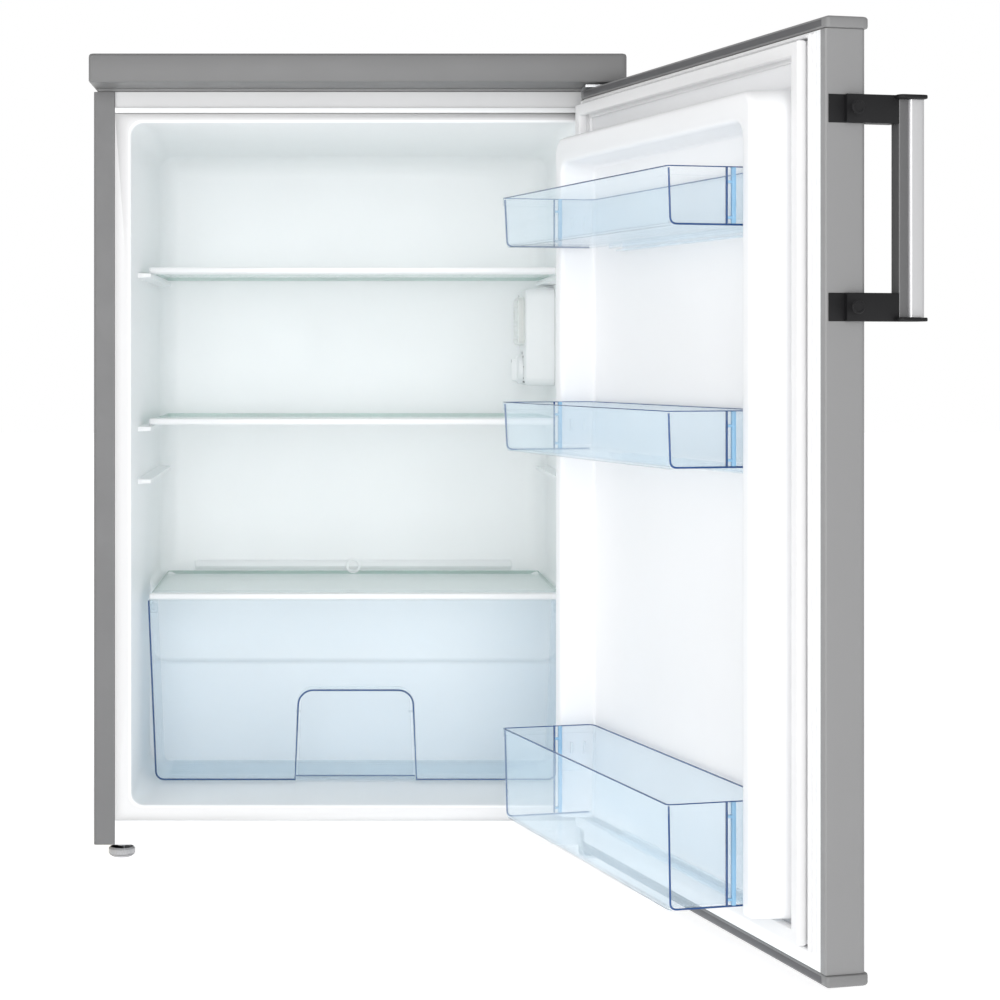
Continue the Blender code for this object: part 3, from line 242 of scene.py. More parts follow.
def marked(shell, mark):
    return shell[0], shell[1], [mark] * len(shell[1])


def moved(shell, matrix):
    return [matrix @ Vector(v) for v in shell[0]], shell[1], shell[2]


def turned_to(direction, at):
    """A matrix that stands a lathe's axis along the direction, at a point."""
    turn = Vector((0, 0, 1)).rotation_difference(Vector(direction)).to_matrix().to_4x4()
    return Matrix.Translation(at) @ turn


# Materials

def noise(tree, scale, detail=3.0, stretch=(1.0, 1.0, 1.0), roughness=0.55):
    nodes, links = tree.nodes, tree.links
    place = nodes.new("ShaderNodeTexCoord")
    mapping = nodes.new("ShaderNodeMapping")
    mapping.inputs["Scale"].default_value = stretch
    made = nodes.new("ShaderNodeTexNoise")
    made.inputs["Scale"].default_value = scale
    made.inputs["Detail"].default_value = detail
    made.inputs["Roughness"].default_value = roughness
    links.new(place.outputs["Object"], mapping.inputs["Vector"])
    links.new(mapping.outputs["Vector"], made.inputs["Vector"])
    return made.outputs["Fac"]


def between(tree, value, low, high, from_low=0.3, from_high=0.7):
    made = tree.nodes.new("ShaderNodeMapRange")
    made.inputs["From Min"].default_value = from_low
    made.inputs["From Max"].default_value = from_high
    made.inputs["To Min"].default_value = low
    made.inputs["To Max"].default_value = high
    tree.links.new(value, made.inputs["Value"])
    return made.outputs["Result"]


def surface(name, colour, roughness, grain=900.0, bump=0.1, mottle=0.03, stretch=(1, 1, 1), **sockets):
    """A Principled material whose colour, gloss and fine relief vary as on a handled, moulded surface."""
    made = bpy.data.materials.new(name)
    made.use_nodes = True
    tree = made.node_tree
    shader = tree.nodes["Principled BSDF"]
    for socket, value in sockets.items():
        shader.inputs[socket.replace("_", " ")].default_value = value
    cloud = noise(tree, 7.0, 4.0)
    blend = tree.nodes.new("ShaderNodeMix")
    blend.data_type = "RGBA"
    blend.inputs["A"].default_value = (*[c * (1 - mottle) for c in colour], 1)
    blend.inputs["B"].default_value = (*[min(c * (1 + mottle), 1) for c in colour], 1)
    tree.links.new(between(tree, cloud, 0.0, 1.0), blend.inputs["Factor"])
    tree.links.new(blend.outputs["Result"], shader.inputs["Base Color"])
    smear = noise(tree, 23.0, 5.0, stretch)
    spread = 0.12 * roughness
    tree.links.new(between(tree, smear, roughness - spread, roughness + spread), shader.inputs["Roughness"])
    if bump:
        relief = tree.nodes.new("ShaderNodeBump")
        relief.inputs["Strength"].default_value = bump
        relief.inputs["Distance"].default_value = 0.0005
        tree.links.new(noise(tree, grain, 2.0, stretch), relief.inputs["Height"])
        tree.links.new(relief.outputs["Normal"], shader.inputs["Normal"])
    return made


def clear(name, colour, roughness, facing_alpha, edge_alpha, ior=1.5):
    """Clear moulded plastic or glass: pale seen straight through, and deeper where it is seen edge on."""
    made = surface(name, colour, roughness, grain=160.0, bump=0.02, mottle=0.04, IOR=ior)
    tree = made.node_tree
    shader = tree.nodes["Principled BSDF"]
    facing = tree.nodes.new("ShaderNodeLayerWeight")
    facing.inputs["Blend"].default_value = 0.35
    alpha = between(tree, facing.outputs["Facing"], facing_alpha, edge_alpha, 0.1, 1.0)
    tree.links.new(alpha, shader.inputs["Alpha"])
    return made


GLAZE = {"Coat_Weight": 0.15, "Coat_Roughness": 0.2}
ENAMEL = {"Metallic": 0.15, "Coat_Weight": 0.08, "Coat_Roughness": 0.3}
LOOKS = {
    # The side panels' silver is a darker copy of the door skin's paint: painted shade that dims the front-lit
    # side panels.
    "silver_paint_shaded": surface("silver_paint_shaded", (0.168, 0.168, 0.170), 0.5, 260, 0.02, 0.01, **ENAMEL),
    "door_silver": surface("door_silver", (0.27, 0.27, 0.273), 0.5, 260, 0.02, 0.01, **ENAMEL),
    # The worktop's underside pad takes a lighter copy of the worktop grey: painted light that stands in for
    # bounce light under the board.
    "underside": surface("underside", (0.30, 0.30, 0.302), 0.5, 300, 0.04, 0.02),
    "worktop": surface("worktop", (0.185, 0.185, 0.187), 0.5, 420, 0.12, 0.03),
    "worktop_edge": surface("worktop_edge", (0.178, 0.178, 0.179), 0.45, 300, 0.03, 0.02),
    "cap_grey": surface("cap_grey", (0.22, 0.22, 0.222), 0.45, 300, 0.05, 0.03),
    # A dark grey for the dial's printed marks and the knob's pointer line, and painted shade on the door
    # caps' inner faces and in the screws' cross recesses.
    "dark_shade_and_print": surface("dark_shade_and_print", (0.10, 0.10, 0.105), 0.5, 300, 0.05, 0.03),
    "trim_grey": surface("trim_grey", (0.74, 0.74, 0.745), 0.45, 200, 0.02, 0.015),
    "liner": surface("liner", (0.935, 0.945, 0.95), 0.40, 110, 0.012, 0.008, **GLAZE),
    # The tub's front flange takes a darker copy of the liner white: painted shade that tones down the front
    # light on it.
    "flange": surface("flange", (0.73, 0.73, 0.735), 0.40, 110, 0.012, 0.008, **GLAZE),
    "door_white": surface("door_white", (0.88, 0.885, 0.895), 0.40, 110, 0.012, 0.008, **GLAZE),
    "white": surface("white", (0.88, 0.89, 0.895), 0.40, 150, 0.015, 0.01),
    "foam": surface("foam", (0.72, 0.62, 0.36), 0.9, 320, 0.6, 0.12),
    "zinc": surface("zinc", (0.56, 0.57, 0.58), 0.36, 60, 0.06, 0.10, Metallic=0.9),
    "aluminium": surface("aluminium", (0.62, 0.62, 0.63), 0.36, 700, 0.05, 0.02, (1, 1, 0.02), Metallic=0.6),
    # A darker copy of the aluminium, which is painted shade on the handle bar's inner side.
    "aluminium_shaded": surface(
        "aluminium_shaded", (0.15, 0.15, 0.153), 0.42, 700, 0.05, 0.03, (1, 1, 0.02), Metallic=0.5
    ),
    "black_paint": surface(
        "black_paint", (0.018, 0.018, 0.02), 0.42, 300, 0.12, 0.25, Coat_Weight=0.3, Coat_Roughness=0.3
    ),
    "black_plastic": surface(
        "black_plastic", (0.006, 0.006, 0.007), 0.55, 420, 0.08, 0.2, Specular_IOR_Level=0.3
    ),
    "rubber": surface("rubber", (0.03, 0.03, 0.031), 0.8, 600, 0.3, 0.2),
    "copper": surface("copper", (0.70, 0.34, 0.20), 0.3, 200, 0.06, 0.18, Metallic=0.95),
    "gasket": surface("gasket", (0.80, 0.80, 0.805), 0.6, 250, 0.04, 0.02),
    "gasket_shadow": surface("gasket_shadow", (0.22, 0.22, 0.23), 0.7, 250, 0.05, 0.05),
    "foot": surface("foot", (0.48, 0.48, 0.49), 0.5, 300, 0.1, 0.05),
    "lens": clear("lens", (0.93, 0.94, 0.92), 0.3, 0.55, 0.95),
    "bulb": surface("bulb", (0.92, 0.91, 0.86), 0.15, 200, 0.02, 0.01),
    "glass": clear("glass", (0.84, 0.93, 0.91), 0.06, 0.06, 0.55, 1.52),
    "glass_edge": surface("glass_edge", (0.14, 0.36, 0.29), 0.15, 200, 0.05, 0.15, Alpha=0.85),
    "clear_blue": clear("clear_blue", (0.66, 0.82, 0.93), 0.07, 0.06, 0.42),
    "blue_strip": surface("blue_strip", (0.30, 0.56, 0.80), 0.12, 200, 0.02, 0.1, Alpha=0.75),
    "blue_edge": surface("blue_edge", (0.02, 0.07, 0.22), 0.14, 200, 0.03, 0.2, Alpha=0.92),
}


def piece(name, shells, body, looks, replaces=(), sharp=35.0):
    """Makes one mesh of the shells, in its body's coordinates, and lets it ride on that body."""
    verts, faces, marks = [], [], []
    for shell_verts, shell_faces, shell_marks in shells:
        start = len(verts)
        verts += shell_verts
        faces += [[start + i for i in face] for face in shell_faces]
        marks += shell_marks
    place = DOOR if body in ON_DOOR else CABINET
    mesh = bpy.data.meshes.new(name)
    mesh.from_pydata([place @ Vector(v) for v in verts], [], faces)
    mesh.polygons.foreach_set("material_index", marks)
    shape = bmesh.new()
    shape.from_mesh(mesh)
    bmesh.ops.remove_doubles(shape, verts=shape.verts, dist=2e-6)
    bmesh.ops.dissolve_degenerate(shape, edges=shape.edges, dist=1e-7)
    bmesh.ops.recalc_face_normals(shape, faces=shape.faces)
    shape.to_mesh(mesh)
    shape.free()
    mesh.polygons.foreach_set("use_smooth", [True] * len(mesh.polygons))
    mesh.set_sharp_from_angle(angle=math.radians(sharp))
    for look in looks:
        mesh.materials.append(LOOKS[look])
    made = bpy.data.objects.new(name, mesh)
    bpy.context.scene.collection.objects.link(made)
    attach(made, body)
    if replaces:
        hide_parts(*replaces)
    return made


def dress(look, *nodes, soften=0.0004):
    """Gives CAD nodes that stay in view their material, and rounds their sharp edges a little."""
    for name in nodes:
        node = frame["nodes"][name]
        node.data.materials.clear()
        node.data.materials.append(LOOKS[look])
        if soften:
            bevel = node.modifiers.new("softened", "BEVEL")
            bevel.width = soften
            bevel.segments = 2
            bevel.limit_method = "ANGLE"
            bevel.angle_limit = math.radians(50)
            bevel.harden_normals = True


def screw(at, direction, radius=0.0038, height=0.0022, mark=0):
    """A pan head with a cross recess."""
    profile = [
        (0.0, -0.0005), (radius, -0.0005), (radius, height * 0.3), (radius * 0.8, height * 0.8),
        (0.0, height)
    ]
    head = lathe(profile, 20, mark=mark)
    # The cross recess is drawn as two thin raised bars in the piece's next material, which is dark: painted
    # shade for the recess.
    slots = [
        bar((-radius * 0.55, -0.0004, height * 0.5), (radius * 0.55, 0.0004, height + 0.0002), 0.0001, 1)
    ]
    slots.append(
        bar((-0.0004, -radius * 0.55, height * 0.5), (0.0004, radius * 0.55, height + 0.0002), 0.0001, 1)
    )
    stand = turned_to(direction, at)
    return [moved(shell, stand) for shell in [head] + [marked(s, mark + 1) for s in slots]]


# Cabinet

def worktop():
    low, high = extent("worktop")
    underside = high.z - 0.030
    board = footprint(low, high, (0.002, 0.002, 0.005, 0.005))
    edge = [(-0.0025, underside), (-0.0008, underside + 0.0006), (0.0, underside + 0.0022)]
    edge += [
        (0.0, high.z - 0.0035), (-0.0005, high.z - 0.0016), (-0.0016, high.z - 0.0005), (-0.0035, high.z)
    ]
    shells = [swept(board, edge, marks=[1] * 6 + [0])]
    # The pad under the board is in the lighter underside grey, painted light for the bounce light under the
    # worktop.
    pad = rounded((low.x + 0.0032, 0.0032), (high.x - 0.0032, 0.4650), 0.003)
    shells.append(marked(prism(pad, low.z + 0.0002, underside + 0.001, edge=0.0006), 2))
    piece(
        "worktop_board", shells, "cabinet", ["worktop", "worktop_edge", "underside"],
        ["worktop"]
    )


def guide_levels():
    """Where the side walls are pressed in: (front, back, bottom, top, reach) of each shelf guide."""
    back = CAVITY_BACK - 0.020
    reach = GUIDE_REACH
    found = []
    for name in SHELVES:
        low = extent(f"shelf_{name}_trim")[0]
        start = HUMP_FRONT + 0.006 if name == "bottom" else GUIDE_FRONT
        found.append((start, back, low.z - 0.0070, low.z - 0.0006, reach))
    found.append((GUIDE_FRONT, back, SPARE_GUIDE_HEIGHT - 0.0070, SPARE_GUIDE_HEIGHT - 0.0006, reach))
    return found


GUIDES = guide_levels()


def rise(value, low, high, soft):
    """0 outside low to high, 1 well inside, and smooth over soft at both ends."""
    t = max(0.0, min((value - low) / soft, (high - value) / soft, 1.0))
    return t * t * (3 - 2 * t)


def pressed(y, z):
    """How far the side wall is pressed in at a point."""
    return max(reach * rise(y, a, b, 0.004) * rise(z, c, d, 0.0012) for a, b, c, d, reach in GUIDES)


def fine_lines(low, high, step, edges, reach, near):
    """Levels from low to high, a step apart, with finer ones round each edge."""
    lines = {low, high} | {
        low + (high - low) * i / int((high - low) / step) for i in range(int((high - low) / step))
    }
    for edge in edges:
        lines |= {edge + near * i for i in range(-reach, reach + 1)}
    kept = []
    for line in sorted(line for line in lines if low <= line <= high):
        if not kept or line - kept[-1] > near * 0.4:
            kept.append(line)
    return kept


def tub_ring(y, grow, floor, levels):
    """One upright section of the food space, anticlockwise seen from the front."""
    half, low, high = CAVITY_HALF + grow, floor - grow, CAVITY_TOP + grow
    radius = max(0.006, min(0.013 + y * 0.1, 0.020) + min(grow, 0.0) * 0.6)
    walls = [min(max(z, low + radius), high - radius) for z in levels]
    right = [(half - pressed(y, z), z) for z in walls]
    top = arc((half - radius, high - radius), radius, 0, 90, 8) + arc(
        (-half + radius, high - radius), radius, 90, 180, 8
    )
    left = [(-x, z) for x, z in right[::-1]]
    under = arc(
        (-half + radius, low + radius), radius, 180, 270, 8
    ) + arc((half - radius, low + radius), radius, 270, 360, 8)
    return [Vector((x, y, z)) for x, z in right + top + left + under]


def inner_liner():
    """The vacuum-formed tub with its front flange, shelf guides, step and rounded back."""
    levels = fine_lines(CAVITY_FLOOR, CAVITY_TOP, 0.02, [e for g in GUIDES for e in g[2:4]], 4, 0.0004)
    turn = [math.radians(15 * i) for i in range(7)]
    stations = [(CAVITY_LIP * (1 - math.cos(t)), CAVITY_LIP * (1 - math.sin(t)), CAVITY_FLOOR) for t in turn]
    ends = sorted({e for g in GUIDES for e in g[:2]})
    stations += [(y, 0.0, CAVITY_FLOOR) for y in fine_lines(0.009, STEP_FRONT - 0.0062, 0.03, ends, 4, 0.001)]
    corner, edge = 0.006, 0.004
    stations += [
        (
            STEP_FRONT - corner + corner * math.sin(t), 0.0, CAVITY_FLOOR + corner - corner * math.cos(t)
        ) for t in turn
    ]
    stations += [
        (STEP_FRONT + edge - edge * math.cos(t), 0.0, STEP_TOP - edge + edge * math.sin(t)) for t in turn
    ]
    stations += [
        (HUMP_FRONT - edge + edge * math.sin(t), 0.0, STEP_TOP + edge - edge * math.cos(t)) for t in turn
    ]
    stations += [
        (
            HUMP_FRONT + corner - corner * math.cos(t), 0.0, HUMP_TOP - corner + corner * math.sin(t)
        ) for t in turn
    ]
    round_back = 0.024
    lines = fine_lines(HUMP_FRONT + corner + 0.001, CAVITY_BACK - round_back - 0.001, 0.03, ends, 4, 0.001)
    stations += [(y, 0.0, HUMP_TOP) for y in lines]
    for t in turn:
        stations.append(
            (CAVITY_BACK - round_back + round_back * math.sin(t), -round_back * (1 - math.cos(t)), HUMP_TOP)
        )
    rings = [tub_ring(y, grow, floor, levels) for y, grow, floor in stations]
    low, high = extent("inner_liner")
    border = [
        Vector(
            (min(max(p.x * 2, low.x), high.x), 0.0, min(max((p.z - 0.4) * 2 + 0.4, low.z), high.z))
        ) for p in rings[0]
    ]
    verts, faces, marks = loft([border] + rings)
    del faces[-2], marks[-2]
    # The band from the border to the first ring is the front flange, in the darker copy of the liner white:
    # painted shade.
    marks[:len(border)] = [1] * len(border)
    made = piece(
        "inner_liner_tub", [(verts, faces, marks)], "cabinet", ["liner", "flange"],
        ["inner_liner"], 28
    )
    thick = made.modifiers.new("thickness", "SOLIDIFY")
    thick.thickness = LINER * 0.9
    thick.offset = 1.0


def liner_details():
    """The drain gutter on the back wall and its outlet."""
    back = CAVITY_BACK
    gutter = [
        (back + 0.0005, 0.268), (back - 0.0045, 0.2695), (back - 0.0062, 0.2735), (back - 0.0045, 0.2790),
        (back + 0.0005, 0.2815)
    ]
    shells = [prism(gutter[::-1], -0.196, 0.196, "YZ", 0.002)]
    lip = lathe([(0.006, 0.0), (0.0095, 0.0), (0.0095, 0.0008), (0.0085, 0.0016), (0.0065, 0.0016)], 32, True)
    shells.append(moved(lip, turned_to((0, -1, 0.25), (0.0, back - 0.0062, 0.2742))))
    piece("drain_gutter", shells, "cabinet", ["liner"])


def trims():
    low, high = extent("upper_trim")
    outline = [
        (low.y, low.z + 0.0003), (0.006, low.z + 0.0003), (0.006, high.z), (0.0022, high.z),
        (0.0022, low.z + 0.0072)
    ]
    outline += [(0.0018, low.z + 0.0064), (0.0006, low.z + 0.0062), (low.y, low.z + 0.0056)]
    upper = prism(outline, low.x, high.x, "YZ")
    line = bar((low.x, low.y - 0.0001, low.z + 0.0020), (high.x, 0.0010, low.z + 0.0024), 0.0001, 1)
    white = bar((low.x, low.y - 0.0002, low.z + 0.0004), (high.x, 0.0030, low.z + 0.0058), 0.0005, 2)
    shells = [upper, marked(white, 1), marked(line, 2)]
    piece(
        "upper_trim_rail", shells, "cabinet", ["trim_grey", "white", "gasket_shadow"],
        ["upper_trim"]
    )


def shelf(name):
    """A glass shelf in its white front strip, with a rear strip and ground green edges."""
    body = f"shelf_{name}"
    low, high = extent(f"shelf_{name}_trim")
    glass_low, glass_high = extent(f"shelf_{name}_glass")
    outline = rounded((low.y, low.z), (high.y, high.z), 0.0022, 5)
    shells = [prism(outline, low.x, high.x, "YZ", 0.0015)]
    shells.append(
        bar((low.x, low.y + 0.0085, low.z - 0.0009), (high.x, high.y - 0.0008, low.z + 0.002), 0.0004, 2)
    )
    piece(f"shelf_{name}_strip", shells, body, ["white"], [f"shelf_{name}_trim"])
    plate = footprint(glass_low, glass_high, (0.006, 0.006, 0.001, 0.001))
    z0, z1, ground = glass_low.z, glass_high.z, 0.0006
    profile = [(-ground, z0), (0.0, z0 + ground), (0.0, z1 - ground), (-ground, z1)]
    verts, faces, marks = swept(plate, profile)
    marks = [1] * (len(marks) - 2) + [0, 0]
    piece(
        f"shelf_{name}_pane", [(verts, faces, marks)], body, ["glass", "glass_edge"],
        [f"shelf_{name}_glass"]
    )


def crisper():
    """The clear drawer: front with its arched grip, body with a ribbed floor, back, rims and stops."""
    low, high = extent("crisper_drawer")
    front, back, bottom, top = low.y, high.y, low.z, high.z
    wall, half_top, half_bottom, radius = 0.0025, high.x, high.x - 0.008, 0.010
    grip_bottom, grip_top, grip_height, grip_depth = 0.0665, 0.063, bottom + 0.099, 0.022
    grip_radius = 0.0155
    corner = arc((half_bottom - radius, bottom + radius), radius, 0, -90, 6)
    right = [(half_top, top)] + corner
    outer = right + [(-x, z) for x, z in right[::-1]]
    arch = [(grip_bottom, bottom)] + arc(
        (grip_top - grip_radius, grip_height - grip_radius), grip_radius, 0, 90, 8
    )
    arch += [(-x, z) for x, z in arch[::-1]]
    front_right = [(half_top, top)] + corner + arch[:len(arch) // 2]
    panel = front_right + [(-x, z) for x, z in front_right[::-1]]
    shells = [prism(panel[::-1], front, front + wall, "XZ", 0.0004)]
    shells.append(prism(sheet(outer, -wall)[::-1], front + wall, back - wall, "XZ"))
    shells.append(prism(outer[::-1], back - wall, back, "XZ", 0.0004))
    shells.append(prism(sheet(arch, -wall)[::-1], front + wall, front + grip_depth, "XZ"))
    shells.append(
        prism(offset(arch[::-1], wall), front + grip_depth, front + grip_depth + wall, "XZ", 0.0004)
    )
    for i in range(6):
        y = front + 0.034 + 0.014 * i
        shells.append(
            bar(
                (-half_bottom + 0.014, y, bottom + 0.0015),
                (half_bottom - 0.014, y + 0.0028, bottom + 0.0042), 0.0009
            )
        )
    rim_radius, rim_x, rim_front, rim_back = 0.0011, half_top - 0.0016, front + 0.001, back - 0.0016
    corners = [(-rim_x, rim_front), (-rim_x, rim_back), (rim_x, rim_back), (rim_x, rim_front)]
    shells.append(tube(bent([(x, y, top - rim_radius) for x, y in corners], 0.004), rim_radius, 8))
    edge = 0.0010
    inset = sheet([(x, z) for x, z in panel], -edge)[len(panel):][::-1]
    bead = [(x, front + edge, z) for x, z in inset]
    shells.append(tube(bead, edge, 8, mark=1))
    floor_line = [
        (-grip_bottom, front + grip_depth + 0.001, bottom + 0.0012),
        (grip_bottom, front + grip_depth + 0.001, bottom + 0.0012)
    ]
    shells.append(tube(floor_line, 0.0009, 8, mark=1))
    for side in (-1, 1):
        x = side * (half_top - 0.0065)
        shells.append(
            bar((x - 0.004, front + wall, top - 0.014), (x + 0.004, front + 0.012, top - 0.0045), 0.0008)
        )
        wheel = lathe([(0.0, -0.0015), (0.0042, -0.0015), (0.0045, 0.0), (0.0042, 0.0015), (0.0, 0.0015)], 24)
        shells.append(
            moved(wheel, turned_to((1, 0, 0), (side * (half_top - 0.0045), front + 0.018, top - 0.008)))
        )
        tick = bar(
            (side * grip_top - 0.004, front + grip_depth - 0.001, bottom + 0.0725),
            (side * grip_top + 0.002, front + grip_depth + 0.003, bottom + 0.0740), 0.0004
        )
        shells.append(tick)
    piece("crisper_shell", shells, "crisper", ["clear_blue", "blue_edge"], ["crisper_drawer"])


def thermostat():
    """The lamp box: vented housing, ribbed lens, bulb, and the knob with its dial marks."""
    low, high = extent("lamp_housing")
    lens_low, lens_high = extent("lamp_lens")
    outline = rounded((low.y, low.z), (high.y, high.z), 0.010, 8)
    case = [(-0.006, low.x), (-0.002, low.x + 0.0012), (0.0, low.x + 0.005), (0.0, high.x)]
    shells = [swept(outline, case, "YZ")]
    for i in range(5):
        y = low.y + 0.018 + 0.011 * i
        shells.append(
            marked(
                bar(
                    (low.x - 0.0003, y, low.z + 0.0035), (low.x + 0.001, y + 0.005, low.z + 0.0055), 0.0003,
                    1
                ),
                1
            )
        )
    shells += screw(Vector((low.x, high.y - 0.010, high.z - 0.008)), (-1, 0, 0), 0.003, 0.0012, 0)
    piece("lamp_case", shells, "cabinet", ["white", "gasket_shadow"], ["lamp_housing"])
    cover = rounded((lens_low.y, lens_low.z), (lens_high.y, lens_high.z), 0.006, 6)
    dome = [
        (-0.004, lens_low.x), (-0.0012, lens_low.x + 0.0012), (0.0, lens_low.x + 0.004), (0.0, lens_high.x)
    ]
    shells = [swept(cover, dome, "YZ")]
    for i in range(9):
        z = lens_low.z + 0.006 + i * (lens_high.z - lens_low.z - 0.012) / 8
        shells.append(
            tube([(lens_low.x, lens_low.y + 0.005, z), (lens_low.x, lens_high.y - 0.005, z)], 0.0007, 8)
        )
    piece("lamp_cover", shells, "cabinet", ["lens"], ["lamp_lens"])
    bulb_low, bulb_high = extent("lamp")
    middle = (bulb_low + bulb_high) / 2
    radius = 0.0085
    glow = [
        (0.0, -0.022), (0.0045, -0.022), (0.005, -0.014), (radius, -0.004), (radius, 0.010), (0.006, 0.017),
        (0.0, 0.020)
    ]
    piece(
        "lamp_bulb", [moved(lathe(glow, 32), Matrix.Translation(middle))], "cabinet", ["bulb"],
        ["lamp"]
    )
    knob_low, knob_high = extent("thermostat_knob")
    at = Vector((knob_high.x, (knob_low.y + knob_high.y) / 2, (knob_low.z + knob_high.z) / 2))
    radius = (knob_high.y - knob_low.y) / 2
    ring = [
        (0.0, 0.0), (radius, 0.0), (radius, 0.003), (radius - 0.0008, 0.0052), (radius - 0.0030, 0.0066),
        (0.0, 0.0068)
    ]
    shells = [lathe(ring, 64)]
    blade = rounded((-radius + 0.0035, -0.0032), (radius - 0.0035, 0.0032), 0.003, 6)
    shells.append(swept(blade, [(0.0, 0.006), (-0.0004, 0.0105), (-0.0014, 0.0125)]))
    shells.append(
        marked(bar((radius - 0.009, -0.0005, 0.0124), (radius - 0.005, 0.0005, 0.0127), 0.0001, 1), 1)
    )
    stand = turned_to((-1, 0, 0), at)
    piece(
        "thermostat_dial", [moved(s, stand) for s in shells], "thermostat", ["white", "dark_shade_and_print"],
        ["thermostat_knob"]
    )
    marks = []
    for i in range(7):
        angle = math.radians(-120 + 40 * i)
        direction = Vector((0, math.sin(angle), math.cos(angle)))
        spot = Vector((low.x - 0.0001, at.y, at.z)) + direction * (radius + 0.0025)
        tick = bar((-0.0004, -0.0003, -0.0012 - 0.0001 * i), (0.0004, 0.0003, 0.0012 + 0.0001 * i), 0.0001, 1)
        marks.append(moved(tick, Matrix.Translation(spot) @ Matrix.Rotation(-angle, 4, "X")))
    piece("dial_marks", marks, "cabinet", ["dark_shade_and_print"])


def feet():
    for side in ("left", "right"):
        low, high = extent(f"foot_pad_{side}")
        at = over(low, high)
        radius = (high.x - low.x) / 2
        teeth = 44
        outline = []
        for i in range(teeth):
            for k, r in ((0.0, radius), (0.35, radius), (0.5, radius - 0.0009), (0.85, radius - 0.0009)):
                t = 2 * math.pi * (i + k) / teeth
                outline.append((r * math.cos(t), r * math.sin(t)))
        profile = [(-radius * 0.45, 0.0), (-radius * 0.25, 0.0004), (-0.0012, 0.0022), (0.0, 0.0040)]
        profile += [(0.0, high.z - 0.0018), (-0.0010, high.z - 0.0004), (-0.0022, high.z)]
        shells = [moved(swept(outline, profile), Matrix.Translation(at))]
        piece(
            f"foot_wheel_{side}_ribbed", shells, f"foot_wheel_{side}", ["foot"],
            [f"foot_pad_{side}"]
        )
        stem_low, stem_high = extent(f"foot_stem_{side}")
        thread = [(0.0, stem_low.z)]
        height, radius = stem_low.z, (stem_high.x - stem_low.x) / 2
        pitch = 0.00125
        while height < stem_high.z - pitch:
            thread += [
                (radius - 0.0006, height), (radius, height + 0.0005), (radius - 0.0006, height + 0.00115)
            ]
            height += pitch
        thread.append((0.0, stem_high.z))
        shells = [moved(lathe(thread, 24), Matrix.Translation(at))]
        piece(
            f"foot_stem_{side}_thread", shells, f"foot_screw_{side}", ["zinc"],
            [f"foot_stem_{side}"]
        )


def compressor():
    """The pot with its seam, foot plate and three stubs of tube."""
    low, high = extent("compressor")
    middle = over(low, high, 0.118)
    radius, half, skin = 0.062, 0.070, 0.0010
    top = [
        (0.0, half), (0.020, half - 0.0004), (0.036, half - 0.004), (0.048, half - 0.013),
        (0.056, half - 0.027), (0.0605, half - 0.045), (radius, half - 0.062)
    ]
    seam = [(radius, 0.007), (radius + 0.002, 0.006), (radius + 0.002, 0.001), (radius - 0.0005, 0.0)]
    pot = top + seam + [(r - skin, -z) for r, z in top[::-1][:-1]] + [(0.0, -half)]
    stretch = Matrix.Translation(middle) @ Matrix.Diagonal((1.25, 1.0, 1.0, 1.0))
    shells = [moved(lathe(pot[::-1], 72), stretch)]
    shells.append(prism(footprint(low, high, 0.012), 0.054, 0.057, edge=0.0008))
    saddle = (middle.x - 0.030, low.y + 0.006, 0.0565), (middle.x + 0.030, high.y - 0.006, 0.066)
    shells.append(bar(*saddle, 0.003))
    for x, y, length in ((-0.030, 0.052, 0.030), (0.020, 0.056, 0.022), (0.048, 0.040, 0.026)):
        stub = Vector((middle.x + x, middle.y + y, 0.140))
        inside, corner = stub - Vector((0, 0.012, 0)), stub + Vector((0, 0.010, 0))
        run = bent([inside, corner, stub + Vector((0, 0.014, length))], 0.006)
        shells.append(tube(run, 0.0032, 12, mark=1))
    piece("compressor_pot", shells, "cabinet", ["black_paint", "copper"], ["compressor"])


def rubber_mounts():
    for number in (1, 2, 3, 4):
        name = f"rubber_mount_{number}"
        low, high = extent(name)
        at = Matrix.Translation(over(low, high))
        r, z0, z1 = (high.x - low.x) / 2, low.z, high.z
        profile = [
            (0.0, z0), (r - 0.001, z0), (r, z0 + 0.001), (r, z0 + 0.011), (r - 0.0025, z0 + 0.013),
            (r - 0.0025, z0 + 0.017), (r - 0.0005, z0 + 0.019), (r - 0.0005, z1 - 0.0008),
            (r - 0.0015, z1), (0.0, z1)
        ]
        bolt = [
            (0.0, 0.0570), (0.0075, 0.0570), (0.0075, 0.0582), (0.0045, 0.0582), (0.0045, 0.0625),
            (0.0036, 0.0632), (0.0, 0.0632)
        ]
        shells = [moved(lathe(profile, 32), at), moved(lathe(bolt, 6, mark=1), at)]
        piece(f"{name}_bolted", shells, "cabinet", ["rubber", "zinc"], [name])


def start_box():
    """The box of the compressor's relay, with a rib on its lid and a wire clip over it."""
    low, high = extent("start_box")
    shells = [bar(low, high, 0.003)]
    rib = (low.x - 0.0010, low.y + 0.008, high.z - 0.020), (low.x + 0.002, high.y - 0.008, high.z - 0.016)
    shells.append(bar(*rib, 0.0005))
    left, right, y, foot, top = low.x + 0.010, high.x - 0.006, high.y + 0.0012, low.z - 0.004, high.z + 0.003
    clip = bent([(left, y, foot), (left, y, top), (right, y, top), (right, y, foot)], 0.004)
    shells.append(tube(clip, 0.0010, 8, mark=1))
    looks = ["black_plastic", "zinc"]
    piece("start_box_cover", shells, "cabinet", looks, ["start_box"])


